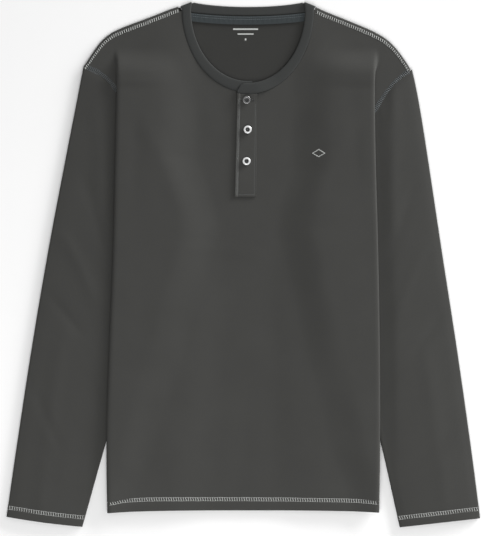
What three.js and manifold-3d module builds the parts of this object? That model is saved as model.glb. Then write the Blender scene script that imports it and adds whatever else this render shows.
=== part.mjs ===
// A long-sleeved henley shirt, laid flat on its back with the sleeves drawn down
// and both sides of the body tucked under. Millimetres, +Z up, neck towards +Y.
// Places are given as "down", the distance below the high point of the shoulder,
// and "out", the distance to either side of the neck's centre line.
import * as THREE from 'three';
import { mergeVertices } from 'three/addons/utils/BufferGeometryUtils.js';
import Module from 'manifold-3d';

const wasm = await Module();
wasm.setup();

// Cloth, and how its layers lie on each other
const cloth = 1.0;
const gap = 0.3;
const air = 1.6;
const ply = cloth + gap;
const tubePitch = cloth + air;
const tubeMid = cloth / 2 + tubePitch / 2;
const tubeHeight = 2 * cloth + air;

// Side tuck: the body's edge turns under, runs inwards, and turns out again as the sleeve
const tuckStart = 74;
const tuckOpening = 34;
const tuckFullDrop = 5 * ply;
const foldRadius = tuckFullDrop / 4;
const foldReach = foldRadius + (tubePitch + ply) / 4 + cloth / 2;
const returnMid = cloth / 2 + ply / 2;
const returnExtra = 2 * ply;
const leastPlateau = 40;
const plateauMargin = 4;
const plateauRamp = 80;
const sleeveMargin = { high: 18, low: 8, from: 640, over: 60 };
const sleeveRamp = 60;
const armpitDown = 333;

// Visible edges of the body, half widths from the neck's centre line
const bodyEdge = [
  { down: 0, left: 187.5, right: 182.5 },
  { down: 76, left: 187.9, right: 182.5 },
  { down: 120, left: 188.6, right: 182.2 },
  { down: 213, left: 190.6, right: 183.2 },
  { down: 357, left: 193.8, right: 187.0 },
  { down: 500, left: 199.4, right: 189.4 },
  { down: 635, left: 203.5, right: 189.8 },
  { down: 740, left: 202.3, right: 188.6 },
];
// How deep the side is tucked under, from its edge to the seam in the fold
const tuckDepth = [
  { down: 110, left: 0.5, right: 0.5 },
  { down: 150, left: 12, right: 8 },
  { down: 180, left: 24, right: 18 },
  { down: armpitDown, left: 73, right: 66 },
  { down: 740, left: 80, right: 70 },
];
const sleeveOuter = [
  { down: 80, left: 233.0, right: 229.0 },
  { down: 98, left: 236.8, right: 235.2 },
  { down: 141, left: 245.1, right: 244.4 },
  { down: 213, left: 259.2, right: 256.2 },
  { down: 357, left: 286.6, right: 278.0 },
  { down: 501, left: 311.2, right: 300.4 },
  { down: 645, left: 333.5, right: 321.2 },
  { down: 745, left: 348.2, right: 334.4 },
];
const sleeveInner = [
  { down: 320, left: 112.5, right: 114.0 },
  { down: armpitDown, left: 116.5, right: 117.5 },
  { down: 636, left: 205.2, right: 191.6 },
  { down: 758, left: 239.0, right: 218.6 },
];
const cuffEnd = [
  { across: 0, left: 741, right: 743 },
  { across: 0.5, left: 749.2, right: 749.2 },
  { across: 1, left: 755.4, right: 756 },
];
// Fold over the shoulder, from the neckband to the shoulder tip
const shoulderFold = [
  { out: 84, left: 1.0, right: 2.0 },
  { out: 98.2, left: 6.2, right: 7.8 },
  { out: 112, left: 10.7, right: 14.2 },
  { out: 141, left: 22.2, right: 25.8 },
  { out: 170, left: 33.0, right: 37.8 },
  { out: 184, left: 38.6, right: 44.4 },
  { out: 199, left: 46.5, right: 53.6 },
  { out: 213, left: 59.2, right: 67.0 },
  { out: 227, left: 79.0, right: 86.0 },
  { out: 236, left: 93.0, right: 100.5 },
];
// Armhole seam from the shoulder tip to where it goes under the tuck
const armholeSeam = {
  left: [
    { out: 250, down: 88 },
    { out: 236.5, down: 93 },
    { out: 216, down: 102 },
    { out: 192, down: 124 },
    { out: 174, down: 150 },
  ],
  right: [
    { out: 250, down: 88 },
    { out: 234, down: 98 },
    { out: 210, down: 119 },
    { out: 184, down: 154 },
    { out: 163, down: 180 },
  ],
};
const seamAllowance = 7.2;
const wrapLeg = 7;
const farOut = 280;
const farUp = -30;
const cutFloor = -1;
const cutCeiling = 12;
const cutSlack = { neck: 4, tip: 24, armhole: 6, sleeve: 30 };
const sleeveCutFrom = { out: 60, down: 20 };
const sameRow = 0.1;

// Sleeve cap: it follows the armhole seam a little way inside it
const sleeveCap = { top: 86, armpit: 326, insetOut: 5, insetDown: 3 };

// Hem
const hemDown = 731.6;
const hemDip = 3.2;
const hemHalf = 195;

// Neck
const neckCentreDown = 11;
const neckSeam = { out: 95, left: 119, right: 122 };
const neckEdge = { out: 82, left: 103, right: 106 };
const neckBandWidth = neckSeam.left - neckEdge.left;
const neckTop = {
  edge: { out: 81.5, down: 0 }, seam: { out: 97.4, down: 6.3 }, back: { out: 95.5, down: 12 },
};
const backDip = 7.3;
const backSeamDip = 7.5;
const neckCurvePower = 0.8;
const band = 1.6;
const bandMid = band / 2;
const bandLeg = 3;
const bandLead = 1.5;

const tapeWidth = 12;
const tapeBelow = 1.2;
const tapeHalf = 86;

// Placket and buttons, measured from the neck's centre line
const slot = { left: -16.4, right: 11.6, top: 100, bottom: 276 };
const flap = {
  topLeft: -15.6, bottomLeft: -19.6, topRight: 13.2, bottomRight: 11.8, bottom: 280.6,
};
const flapCloth = 1.2;
const bandOverlap = { underEnd: 7, overEnd: -15.4, climb: 34, climbFrom: 22, corner: 11.5 };
const button = {
  radius: 5.7, height: 2.4, rim: 2.3, dish: 0.9, edge: 0.5, sides: 24,
  hole: 0.7, holeOut: 1.4, holeSides: 8,
};
const buttonPlaces = [
  { name: 'button_top', out: -1.9, down: 141.2 },
  { name: 'button_middle', out: -0.6, down: 184 },
  { name: 'button_bottom', out: -2.2, down: 229.5 },
];

// Grid of the body panels
const rowDowns = [
  -8, 30, 58, 74, 84, 94, 108, 128, 150, 180, 215, 255, 295, 333,
  370, 410, 450, 495, 540, 585, 620, 650, 690, 732,
];
const columns = { inner: 5, over: 3, bend: 4, back: 3, turn: 3, out: 2 };
const sheetReach = 246;

const sides = [
  { name: 'left', sign: -1 },
  { name: 'right', sign: 1 },
];

const mix = (a, b, t) => a + (b - a) * t;
const clamp = (t) => Math.min(1, Math.max(0, t));
const ease = (t) => clamp(t) ** 2 * (3 - 2 * clamp(t));

// Smooth curve through a table: the value in a column at a place given by another column
function along(table, by, column, at) {
  const last = table.length - 1;
  if (at <= table[0][by]) return table[0][column];
  if (at >= table[last][by]) return table[last][column];
  const i = table.findIndex((row) => row[by] > at) - 1;
  const slope = (a, b) => (table[b][column] - table[a][column]) / (table[b][by] - table[a][by]);
  const span = table[i + 1][by] - table[i][by];
  const before = slope(Math.max(0, i - 1), i + 1) * span;
  const after = slope(i, Math.min(last, i + 2)) * span;
  const t = (at - table[i][by]) / span;
  const a = table[i][column];
  const b = table[i + 1][column];
  return (
    a * (2 * t ** 3 - 3 * t ** 2 + 1) + before * (t ** 3 - 2 * t ** 2 + t) +
    b * (3 * t ** 2 - 2 * t ** 3) + after * (t ** 3 - t ** 2)
  );
}

// Solids

function toSolid(points, triangles) {
  return new wasm.Manifold(new wasm.Mesh({
    numProp: 3,
    vertProperties: Float32Array.from(points.flatMap((p) => [p.x, p.y, p.z])),
    triVerts: Uint32Array.from(triangles.flat()),
  }));
}

function fromGeometry(source) {
  const geometry = source.clone();
  geometry.deleteAttribute('normal');
  geometry.deleteAttribute('uv');
  const merged = mergeVertices(geometry, 1e-4);
  return new wasm.Manifold(new wasm.Mesh({
    numProp: 3,
    vertProperties: Float32Array.from(merged.attributes.position.array),
    triVerts: Uint32Array.from(merged.index.array),
  }));
}

function toMesh(name, solid, finish) {
  const mesh = solid.getMesh();
  const geometry = new THREE.BufferGeometry();
  geometry.setAttribute('position', new THREE.BufferAttribute(mesh.vertProperties, 3));
  geometry.setIndex(new THREE.BufferAttribute(mesh.triVerts, 1));
  geometry.computeVertexNormals();
  const result = new THREE.Mesh(geometry, new THREE.MeshStandardMaterial(finish));
  result.name = name;
  return result;
}

// Upright block over an outline of out/down points; a cut goes through every layer
function block(outline, low = cutFloor, high = cutCeiling) {
  const shape = new THREE.Shape(outline.map((p) => new THREE.Vector2(p.out, -p.down)));
  const geometry = new THREE.ExtrudeGeometry(shape, { depth: high - low, bevelEnabled: false });
  return fromGeometry(geometry.translate(0, 0, low));
}

const onSide = (points, sign) => points.map((p) => ({ out: sign * p.out, down: p.down }));

// Closed wall of cloth. Each place of the grid holds its face and its lining point, or null
// where there is no cloth. Layers that lie on each other split their squares the same way.
function wall(grid, closed = false) {
  const points = [];
  const triangles = [];
  const edges = new Map();
  const number = grid.map((row) => row.map((place) => {
    if (!place) return -1;
    points.push(place.face, place.lining);
    return points.length / 2 - 1;
  }));
  const wide = grid[0].length;
  const plan = (n) => points[2 * n];
  for (let i = 0; i + 1 < grid.length; i++) {
    for (let j = 0; j < (closed ? wide : wide - 1); j++) {
      const next = (j + 1) % wide;
      const corners = [number[i][j], number[i + 1][j], number[i + 1][next], number[i][next]];
      if (corners.includes(-1)) continue;
      const [a, b, c, d] = corners.map(plan);
      const side = Math.sign(a.x + b.x + c.x + d.x) || 1;
      const lean = (p, q) => side * (q.x - p.x) * (q.y - p.y);
      const k = corners;
      const split = lean(a, c) > lean(b, d)
        ? [[k[0], k[1], k[2]], [k[0], k[2], k[3]]]
        : [[k[0], k[1], k[3]], [k[1], k[2], k[3]]];
      for (const [p, q, r] of split) {
        triangles.push([2 * p, 2 * q, 2 * r], [2 * r + 1, 2 * q + 1, 2 * p + 1]);
      }
      k.forEach((p, n) => edges.set(`${p},${k[(n + 1) % 4]}`, [p, k[(n + 1) % 4]]));
    }
  }
  for (const [p, q] of edges.values()) {
    if (edges.has(`${q},${p}`)) continue;
    triangles.push([2 * p, 2 * p + 1, 2 * q + 1], [2 * p, 2 * q + 1, 2 * q]);
  }
  return toSolid(points, inwards(points, triangles) ? triangles.map((t) => t.reverse()) : triangles);
}

function inwards(points, triangles) {
  const volume = triangles.reduce((sum, [a, b, c]) => (
    sum + points[a].dot(new THREE.Vector3().crossVectors(points[b], points[c]))
  ), 0);
  return volume < 0;
}

// A point of a section: its place, the way its face looks, and half the gap between
// the front's and the back's cloth there
const sectionPoint = (part, x, z, angle, half) => (
  { part, x, z, nx: Math.sin(angle), nz: Math.cos(angle), half }
);

// Body: one surface runs midway between front and back, and each panel lies to one side of it

function tuckAt(down, side) {
  const bend = along(bodyEdge, 'down', side, down) - foldReach;
  const depth = along(tuckDepth, 'down', side, down);
  const turn = Math.max(1e-3, Math.PI * ease((down - tuckStart) / tuckOpening));
  const radius = (Math.PI * foldRadius) / turn;
  const full = turn > Math.PI - 1e-6;
  const drop = full ? tuckFullDrop : 2 * radius * (1 - Math.cos(turn)) + depth * Math.sin(turn);
  return { bend, depth, turn, radius, full, rise: drop / tuckFullDrop };
}

// Height that the sleeve underneath lifts the body's layers to
function sleeveLift(x, down, side, tuck) {
  const inner = down < armpitDown
    ? tuck.bend - Math.max(tuck.depth, leastPlateau)
    : along(sleeveInner, 'down', side, down);
  const { high, low, from, over } = sleeveMargin;
  const margin = mix(high, low, ease((down - from) / over));
  return (tubeHeight + gap) * (1 - ease((inner - margin - x) / sleeveRamp));
}

function midHeight(x, down, side, tuck) {
  const plateau = tuck.bend - Math.max(tuck.depth, leastPlateau) - plateauMargin;
  const overTuck = 1 - ease((plateau - x) / plateauRamp);
  return tubeMid + tuck.rise * (sleeveLift(x, down, side, tuck) + returnExtra * overTuck);
}

function bodySection(down, side) {
  const tuck = tuckAt(down, side);
  const { bend, depth, turn, radius, full } = tuck;
  const plateau = bend - Math.max(depth, leastPlateau);
  const points = [];
  const flat = (x) => points.push(
    sectionPoint('centre', x, midHeight(x, down, side, tuck), 0, tubePitch / 2));
  for (let k = 0; k <= columns.inner; k++) flat((plateau * k) / columns.inner);
  for (let k = 1; k <= columns.over; k++) flat(mix(plateau, bend, k / columns.over));
  const tight = mix(tubePitch / 2, ply / 2, turn / Math.PI);
  let { x, z } = points.at(-1);
  for (let k = 1; k <= columns.bend; k++) {
    const a = (turn * k) / columns.bend;
    const half = mix(tubePitch / 2, tight, k / columns.bend);
    points.push(sectionPoint(
      'bend', x + radius * Math.sin(a), z - radius * (1 - Math.cos(a)), a, half));
  }
  ({ x, z } = points.at(-1));
  for (let k = 1; k <= columns.back; k++) {
    const run = (depth * k) / columns.back;
    const place = full
      ? { x: x - run, z: sleeveLift(x - run, down, side, tuck) + returnMid }
      : { x: x + run * Math.cos(turn), z: z - run * Math.sin(turn) };
    points.push(sectionPoint('return', place.x, place.z, turn, tight));
  }
  ({ x, z } = points.at(-1));
  for (let k = 1; k <= columns.turn; k++) {
    const a = turn * (1 - k / columns.turn);
    const half = mix(tight, tubePitch / 2, k / columns.turn);
    points.push(sectionPoint(
      'turn', x + radius * (Math.sin(turn) - Math.sin(a)),
      z - radius * (Math.cos(a) - Math.cos(turn)), a, half));
  }
  ({ x } = points.at(-1));
  for (let k = 1; k <= columns.out; k++) {
    points.push(sectionPoint(
      'out', mix(x, sheetReach, k / columns.out), tubeMid, 0, tubePitch / 2));
  }
  return points;
}

// Front on the upper side of the surface (layer 1), back on the lower (layer -1)
function panelGrid(layer, turnEnd) {
  const stretch = (down, { name, sign }) => bodySection(down, name).map((p) => {
    const ends = { turn: turnEnd[name], out: armholeSeam[name].at(-1).down };
    if (down > (ends[p.part] ?? Infinity) + sameRow) return null;
    const y = -down - (down === rowDowns.at(-1) ? hemDip * (p.x / hemHalf) ** 4 : 0);
    const at = (offset) => new THREE.Vector3(
      sign * (p.x + layer * offset * p.nx), y, p.z + layer * offset * p.nz);
    return { face: at(p.half + cloth / 2), lining: at(p.half - cloth / 2) };
  });
  return rowDowns.map((down) => {
    const [left, right] = sides.map((side) => stretch(down, side));
    return [...left.slice(1).reverse(), ...right];
  });
}

// Shoulder fold of one side as plan points, moved in by a distance
function shoulderPath(side, inset) {
  const from = shoulderFold[1].out;
  const tip = armholeSeam[side][1].out;
  const steps = 12;
  return Array.from({ length: steps + 1 }, (_, k) => {
    const out = mix(from, tip, k / steps);
    const down = along(shoulderFold, 'out', side, out);
    const ahead = along(shoulderFold, 'out', side, out + 1);
    const behind = along(shoulderFold, 'out', side, out - 1);
    const tangent = new THREE.Vector2(2, behind - ahead).normalize();
    return {
      out: out + inset * tangent.y, down: down + inset * tangent.x, nx: -tangent.y, ny: tangent.x,
    };
  });
}

// All that lies beyond the shoulder line moved in by a distance
function beyondShoulder({ name, sign }, inset) {
  const path = shoulderPath(name, inset);
  const outline = [
    { out: shoulderFold[0].out, down: path[0].down - cutSlack.neck }, ...path,
    { out: farOut, down: path.at(-1).down + cutSlack.tip },
    { out: farOut, down: farUp }, { out: shoulderFold[0].out, down: farUp },
  ];
  return block(onSide(outline, sign));
}

// The back's cloth over the shoulder fold, as far as the seam on the front
function shoulderWrap({ name, sign }) {
  const radius = tubePitch / 2;
  const legIn = radius + cloth / 2;
  const arc = 5;
  const section = [
    { inset: legIn + wrapLeg, z: cloth / 2, angle: -Math.PI / 2 },
    ...Array.from({ length: arc + 1 }, (_, k) => {
      const angle = -Math.PI / 2 + (Math.PI * k) / arc;
      return { inset: legIn - radius * Math.cos(angle), z: tubeMid + radius * Math.sin(angle), angle };
    }),
    { inset: seamAllowance, z: tubeMid + radius, angle: Math.PI / 2 },
  ];
  const grid = section.map(({ inset, z, angle }) => shoulderPath(name, 0).map((p) => {
    const at = (offset) => {
      const depth = inset - offset * Math.cos(angle);
      return new THREE.Vector3(
        sign * (p.out - depth * p.nx), -p.down - depth * p.ny, z + offset * Math.sin(angle));
    };
    return { face: at(cloth / 2), lining: at(-cloth / 2) };
  }));
  return wall(grid);
}

// The seam in the fold of the tuck, row by row, from the shoulder tip to the armpit
function capSeam(side) {
  const hidden = armholeSeam[side].at(-1).down;
  const rows = rowDowns.filter((down) => down >= hidden && down <= armpitDown);
  return [
    ...armholeSeam[side].slice(0, -1),
    ...rows.map((down) => {
      const { bend, depth } = tuckAt(down, side);
      return { out: bend - depth, down };
    }),
  ];
}

// Where the body's cloth stops at the armhole
function beyondArmhole({ name, sign }) {
  const seam = armholeSeam[name].slice(0, -1);
  const { down } = armholeSeam[name].at(-1);
  const { bend, depth } = tuckAt(down, name);
  const beyond = down + cutSlack.armhole;
  const outline = [
    ...seam, { out: bend - depth, down }, { out: bend - depth, down: beyond },
    { out: farOut, down: beyond }, { out: farOut, down: seam[0].down },
  ];
  return block(onSide(outline, sign), cutFloor, tubeHeight + gap / 2);
}

// Where the sleeve's cloth stops at the armhole
function withinArmhole({ name, sign }) {
  const seam = capSeam(name).map((p) => ({ out: p.out + gap, down: p.down + gap }));
  const end = seam.at(-1);
  const outline = [
    { out: seam[0].out, down: sleeveCutFrom.down }, ...seam,
    { out: end.out - cutSlack.sleeve, down: end.down }, sleeveCutFrom,
  ];
  return block(onSide(outline, sign));
}

// Neck curves

// Half an ellipse on each side, deeper on the viewer's right
function onNeck(curve, angle, side) {
  const out = curve.out * Math.cos(angle);
  return { out, down: neckCentreDown + curve[side] * Math.sin(angle) };
}
const outwardsSide = (angle) => (Math.cos(angle) > 0 ? 'right' : 'left');

const backCurve = (out, half, start, dip) => (
  start + dip * Math.max(0, 1 - (out / half) ** 2) ** neckCurvePower
);

const grown = (curve) => (
  { out: curve.out + gap, left: curve.left + gap, right: curve.right + gap }
);

function frontNeckHole() {
  const steps = 60;
  const seam = grown(neckSeam);
  const arc = Array.from({ length: steps + 1 }, (_, k) => {
    const angle = (Math.PI * k) / steps;
    return onNeck(seam, angle, outwardsSide(angle));
  });
  const side = neckTop.seam.out + gap;
  return block([
    ...arc, { out: -side, down: neckTop.seam.down }, { out: -side, down: farUp },
    { out: side, down: farUp }, { out: side, down: neckTop.seam.down },
  ]);
}

function backNeckHole() {
  const steps = 32;
  const { seam, back } = neckTop;
  const half = back.out + gap;
  const curve = Array.from({ length: steps + 1 }, (_, k) => {
    const out = mix(half, -half, k / steps);
    return { out, down: backCurve(out, half, back.down, backSeamDip) + gap };
  });
  const side = seam.out + gap;
  return block([
    ...curve, { out: -side, down: seam.down }, { out: -side, down: farUp },
    { out: side, down: farUp }, { out: side, down: seam.down },
  ]);
}

// Panels

const [tuckLeft, tuckRight] = sides.map(({ name }) => armholeSeam[name].at(-1).down);

function frontPanel() {
  let solid = wall(panelGrid(1, { left: tuckLeft, right: tuckRight }));
  for (const side of sides) {
    solid = solid.subtract(beyondShoulder(side, seamAllowance + gap)).subtract(beyondArmhole(side));
  }
  const opening = [
    { out: slot.left, down: slot.top }, { out: slot.left, down: slot.bottom },
    { out: slot.right, down: slot.bottom }, { out: slot.right, down: slot.top },
  ];
  return solid.subtract(frontNeckHole()).subtract(block(opening));
}

function backPanel() {
  let solid = wall(panelGrid(-1, { left: armpitDown, right: armpitDown }));
  for (const side of sides) {
    solid = solid.subtract(beyondShoulder(side, tubePitch / 2 + cloth / 2));
  }
  for (const side of sides) {
    solid = solid.add(shoulderWrap(side)).subtract(beyondArmhole(side));
  }
  return solid.subtract(backNeckHole());
}

// Sleeve: a flattened tube between its outer edge, its inner edge, the armhole and the cuff
function sleeve({ name, sign }) {
  const seam = capSeam(name);
  const lengths = seam.map((p, k) => {
    const before = seam[Math.max(0, k - 1)];
    return Math.hypot(p.out - before.out, p.down - before.down);
  });
  const total = lengths.reduce((a, b) => a + b, 0);
  let run = 0;
  const cap = seam.map((p, k) => {
    run += lengths[k];
    return {
      across: run / total, out: p.out - sleeveCap.insetOut, down: p.down - sleeveCap.insetDown,
    };
  });
  const top = { out: along(sleeveOuter, 'down', name, sleeveCap.top), down: sleeveCap.top };
  const armpit = {
    out: along(sleeveInner, 'down', name, sleeveCap.armpit), down: sleeveCap.armpit,
  };
  cap[0] = { across: 0, ...top };
  cap[cap.length - 1] = { across: 1, ...armpit };
  const end = (across) => along(cuffEnd, 'across', name, across);
  const edge = (table, from, to, t) => {
    const down = mix(from, to, t);
    return new THREE.Vector2(along(table, 'down', name, down), down);
  };
  const outer = (t) => edge(sleeveOuter, top.down, end(0), t);
  const inner = (t) => edge(sleeveInner, armpit.down, end(1), t);
  const capAt = (c) => (
    new THREE.Vector2(along(cap, 'across', 'out', c), along(cap, 'across', 'down', c))
  );
  const cuffAt = (c) => new THREE.Vector2(mix(outer(1).x, inner(1).x, c), end(c));
  const place = (t, c) => {
    const rails = outer(t).multiplyScalar(1 - c).add(inner(t).multiplyScalar(c));
    const ends = capAt(c).multiplyScalar(1 - t).add(cuffAt(c).multiplyScalar(t));
    const corners = (end, weight) => (
      outer(end).multiplyScalar(1 - c).add(inner(end).multiplyScalar(c)).multiplyScalar(weight)
    );
    return rails.add(ends).sub(corners(0, 1 - t)).sub(corners(1, t));
  };
  const stations = [
    0, 0.03, 0.07, 0.13, 0.2, 0.28, 0.36, 0.44, 0.52, 0.6, 0.68, 0.76, 0.84, 0.92, 1,
  ];
  const radius = tubePitch / 2;
  const reach = radius + cloth / 2;
  const flats = 6;
  const arc = 5;
  const ring = (t) => {
    const width = place(t, 0).distanceTo(place(t, 1));
    const inset = reach / width;
    const out = place(t, 0).sub(place(t, 1)).normalize();
    const spots = [];
    const level = (c, angle) => spots.push({ at: place(t, c), angle, bulge: 0 });
    const round = (c, from, to) => {
      for (let k = 1; k < arc; k++) {
        spots.push({ at: place(t, c), angle: mix(from, to, k / arc), bulge: 1 });
      }
    };
    for (let k = 0; k <= flats; k++) level(mix(inset, 1 - inset, k / flats), Math.PI / 2);
    round(1 - inset, Math.PI / 2, (3 * Math.PI) / 2);
    for (let k = 0; k <= flats; k++) level(mix(1 - inset, inset, k / flats), (3 * Math.PI) / 2);
    round(inset, (3 * Math.PI) / 2, (5 * Math.PI) / 2);
    return spots.map(({ at, angle, bulge }) => {
      const point = (size) => {
        const side = size * Math.cos(angle) * bulge;
        return new THREE.Vector3(
          sign * (at.x + side * out.x), -(at.y + side * out.y), tubeMid + size * Math.sin(angle));
      };
      return { face: point(radius + cloth / 2), lining: point(radius - cloth / 2) };
    });
  };
  return wall(stations.map(ring), true).subtract(withinArmhole({ name, sign }));
}

// Flat strip between two rails of out/down/mid points
function strip(rails, thickness) {
  const grid = rails[0].map((_, k) => rails.map((rail) => {
    const p = rail[k];
    return {
      face: new THREE.Vector3(p.out, -p.down, p.mid + thickness / 2),
      lining: new THREE.Vector3(p.out, -p.down, p.mid - thickness / 2),
    };
  }));
  return wall(grid);
}

// Neckband: round the front in one curve whose ends lap at the placket, folded at the
// shoulders, and across the back
function neckband() {
  const frontMid = tubePitch + bandMid;
  const halfFront = ({ name, sign }, end, lifted) => {
    const steps = 20;
    const stop = Math.acos(end / (sign * neckSeam.out));
    const rails = [neckEdge, neckSeam].map((curve) => Array.from({ length: steps + 1 }, (_, k) => {
      const p = onNeck(curve, (stop * k) / steps, name);
      const left = stop * (1 - k / steps) * curve.out;
      const share = ease(1 - (left - bandOverlap.climbFrom) / bandOverlap.climb);
      const climb = lifted ? (band + gap) * share : 0;
      return { out: sign * p.out, down: p.down, mid: frontMid + climb };
    }));
    if (lifted) roundCorner(rails);
    [neckTop.edge, neckTop.seam].forEach((top, n) => {
      rails[n].unshift({ out: sign * top.out, down: top.down + bandLead, mid: frontMid });
    });
    return strip(rails, band);
  };
  const steps = 16;
  const backRails = [
    { half: neckTop.edge.out, start: neckTop.edge.down, dip: backDip },
    { half: neckTop.back.out, start: neckTop.back.down, dip: backSeamDip },
  ].map(({ half, start, dip }) => Array.from({ length: steps + 1 }, (_, k) => {
    const out = mix(-half, half, k / steps);
    return { out, down: backCurve(out, half, start, dip), mid: bandMid };
  }));
  return strip(backRails, band)
    .add(halfFront(sides[0], bandOverlap.underEnd, false))
    .add(halfFront(sides[1], bandOverlap.overEnd, true))
    .add(bandFold(sides[0])).add(bandFold(sides[1]));
}

// The lapping end's free corner, rounded
function roundCorner([edge, seam]) {
  const { corner } = bandOverlap;
  edge.forEach((p, k) => {
    const toEnd = Math.hypot(p.out - edge.at(-1).out, p.down - edge.at(-1).down);
    if (toEnd >= corner) return;
    const drop = (corner - Math.sqrt(corner ** 2 - (corner - toEnd) ** 2)) / neckBandWidth;
    p.out = mix(p.out, seam[k].out, drop);
    p.down = mix(p.down, seam[k].down, drop);
  });
}

// The band's fold at the high point of the shoulder
function bandFold({ sign }) {
  const { edge, seam } = neckTop;
  const radius = tubePitch / 2;
  const centre = bandMid + radius;
  const tangent = new THREE.Vector2(seam.out - edge.out, edge.down - seam.down).normalize();
  const reach = radius + band / 2;
  const arc = 6;
  const angles = Array.from({ length: arc + 1 }, (_, k) => -Math.PI / 2 + (Math.PI * k) / arc);
  const legs = [
    { angle: angles[0], leg: bandLeg },
    ...angles.map((angle) => ({ angle, leg: 0 })),
    { angle: angles.at(-1), leg: bandLeg },
  ];
  const grid = legs.map(({ angle, leg }) => [edge, seam].map((p) => {
    const at = (size) => {
      const depth = reach + leg - size * Math.cos(angle);
      return new THREE.Vector3(
        sign * (p.out + depth * tangent.y), -p.down - depth * tangent.x,
        centre + size * Math.sin(angle));
    };
    return { face: at(radius + band / 2), lining: at(radius - band / 2) };
  }));
  return wall(grid);
}

// Tape sewn over the back neck seam, inside
function neckTape() {
  const steps = 16;
  const { back } = neckTop;
  const mid = cloth + gap + cloth / 2;
  const rail = (below) => Array.from({ length: steps + 1 }, (_, k) => {
    const out = mix(-tapeHalf, tapeHalf, k / steps);
    return { out, down: backCurve(out, back.out, back.down, backSeamDip) + below, mid };
  });
  const rails = [rail(tapeBelow), rail(tapeBelow + tapeWidth)];
  return strip(rails, cloth);
}

// Placket: the lower layer fills the slot, the upper one lies over it with its free edge left
function placketUnder() {
  const top = neckCentreDown + neckSeam.left + 2 * gap;
  const outline = [
    { out: slot.left + gap, down: top }, { out: slot.left + gap, down: slot.bottom - gap },
    { out: slot.right - gap, down: slot.bottom - gap }, { out: slot.right - gap, down: top },
  ];
  return block(outline, tubePitch, tubePitch + cloth);
}

function placketUpper() {
  const low = tubePitch + cloth + gap;
  const seam = grown(neckSeam);
  const steps = 6;
  const top = Array.from({ length: steps + 1 }, (_, k) => {
    const out = mix(flap.topRight, flap.topLeft, k / steps);
    return onNeck(seam, Math.acos(out / seam.out), 'right');
  });
  const outline = [
    ...top, { out: flap.bottomLeft, down: flap.bottom }, { out: flap.bottomRight, down: flap.bottom },
  ];
  return block(outline, low, low + flapCloth);
}

// Button: turned disc with a raised rim and a dished face, pierced by four holes
function buttonSolid() {
  const { radius, height, rim, dish, edge, hole, holeOut, holeSides, sides: facets } = button;
  const profile = [
    [0, 0], [radius - edge, 0], [radius, edge], [radius, height - edge], [radius - edge, height],
    [radius - rim, height], [radius - rim - dish / 2, height - dish], [0, height - dish],
  ].map(([x, y]) => new THREE.Vector2(x, y));
  const disc = new THREE.LatheGeometry(profile, facets).rotateX(Math.PI / 2);
  let solid = fromGeometry(disc);
  for (let k = 0; k < 4; k++) {
    const turn = Math.PI / 4 + (k * Math.PI) / 2;
    const drill = new THREE.CylinderGeometry(hole, hole, 3 * height, holeSides);
    drill.rotateX(Math.PI / 2);
    drill.translate(holeOut * Math.cos(turn), holeOut * Math.sin(turn), 0);
    solid = solid.subtract(fromGeometry(drill));
  }
  return solid;
}

const jersey = { color: 0x41413f, roughness: 0.92, metalness: 0 };
const ribbon = { color: 0x3e464b, roughness: 0.9, metalness: 0 };
const metalShell = { color: 0xb9bcbd, roughness: 0.35, metalness: 0.6 };

const pieces = [
  toMesh('back_panel', backPanel(), jersey),
  toMesh('front_panel', frontPanel(), jersey),
  ...sides.map((side) => toMesh(`sleeve_${side.name}`, sleeve(side), jersey)),
  toMesh('neckband', neckband(), jersey),
  toMesh('neck_tape', neckTape(), ribbon),
  toMesh('placket_under', placketUnder(), jersey),
  toMesh('placket_upper', placketUpper(), jersey),
];

const buttonSeat = tubePitch + cloth + gap + flapCloth + gap;
for (const { name, out, down } of buttonPlaces) {
  const mesh = toMesh(name, buttonSolid(), metalShell);
  mesh.position.set(out, -down, buttonSeat);
  pieces.push(mesh);
}

// The origin is under the middle of the whole shirt, on the surface it lies on
const shirt = new THREE.Group();
shirt.add(...pieces);
const bounds = new THREE.Box3().setFromObject(shirt);
const middle = bounds.getCenter(new THREE.Vector3());
shirt.position.set(-middle.x, -middle.y, -bounds.min.z);

export default shirt;
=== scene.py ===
"""Dresses the CAD model of a long-sleeved henley shirt: cloth, sewing, buttons and studio.

Places are given as "down", the distance below the high point of the shoulder, and "out", the
distance to either side of the neck's centre line. Everything is in metres, with +X to the
viewer's right, +Y towards the neck and +Z up out of the surface that the shirt lies on.
"""

import logging
import math
import random
from dataclasses import dataclass, field
from enum import Enum
from typing import Callable, Sequence

import bmesh
import bpy
from bmesh.types import BMEdge, BMesh, BMFace, BMVert
from bpy.types import Material, Node, NodeSocket, NodeTree, Object
from mathutils import Matrix, Vector, noise

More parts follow.
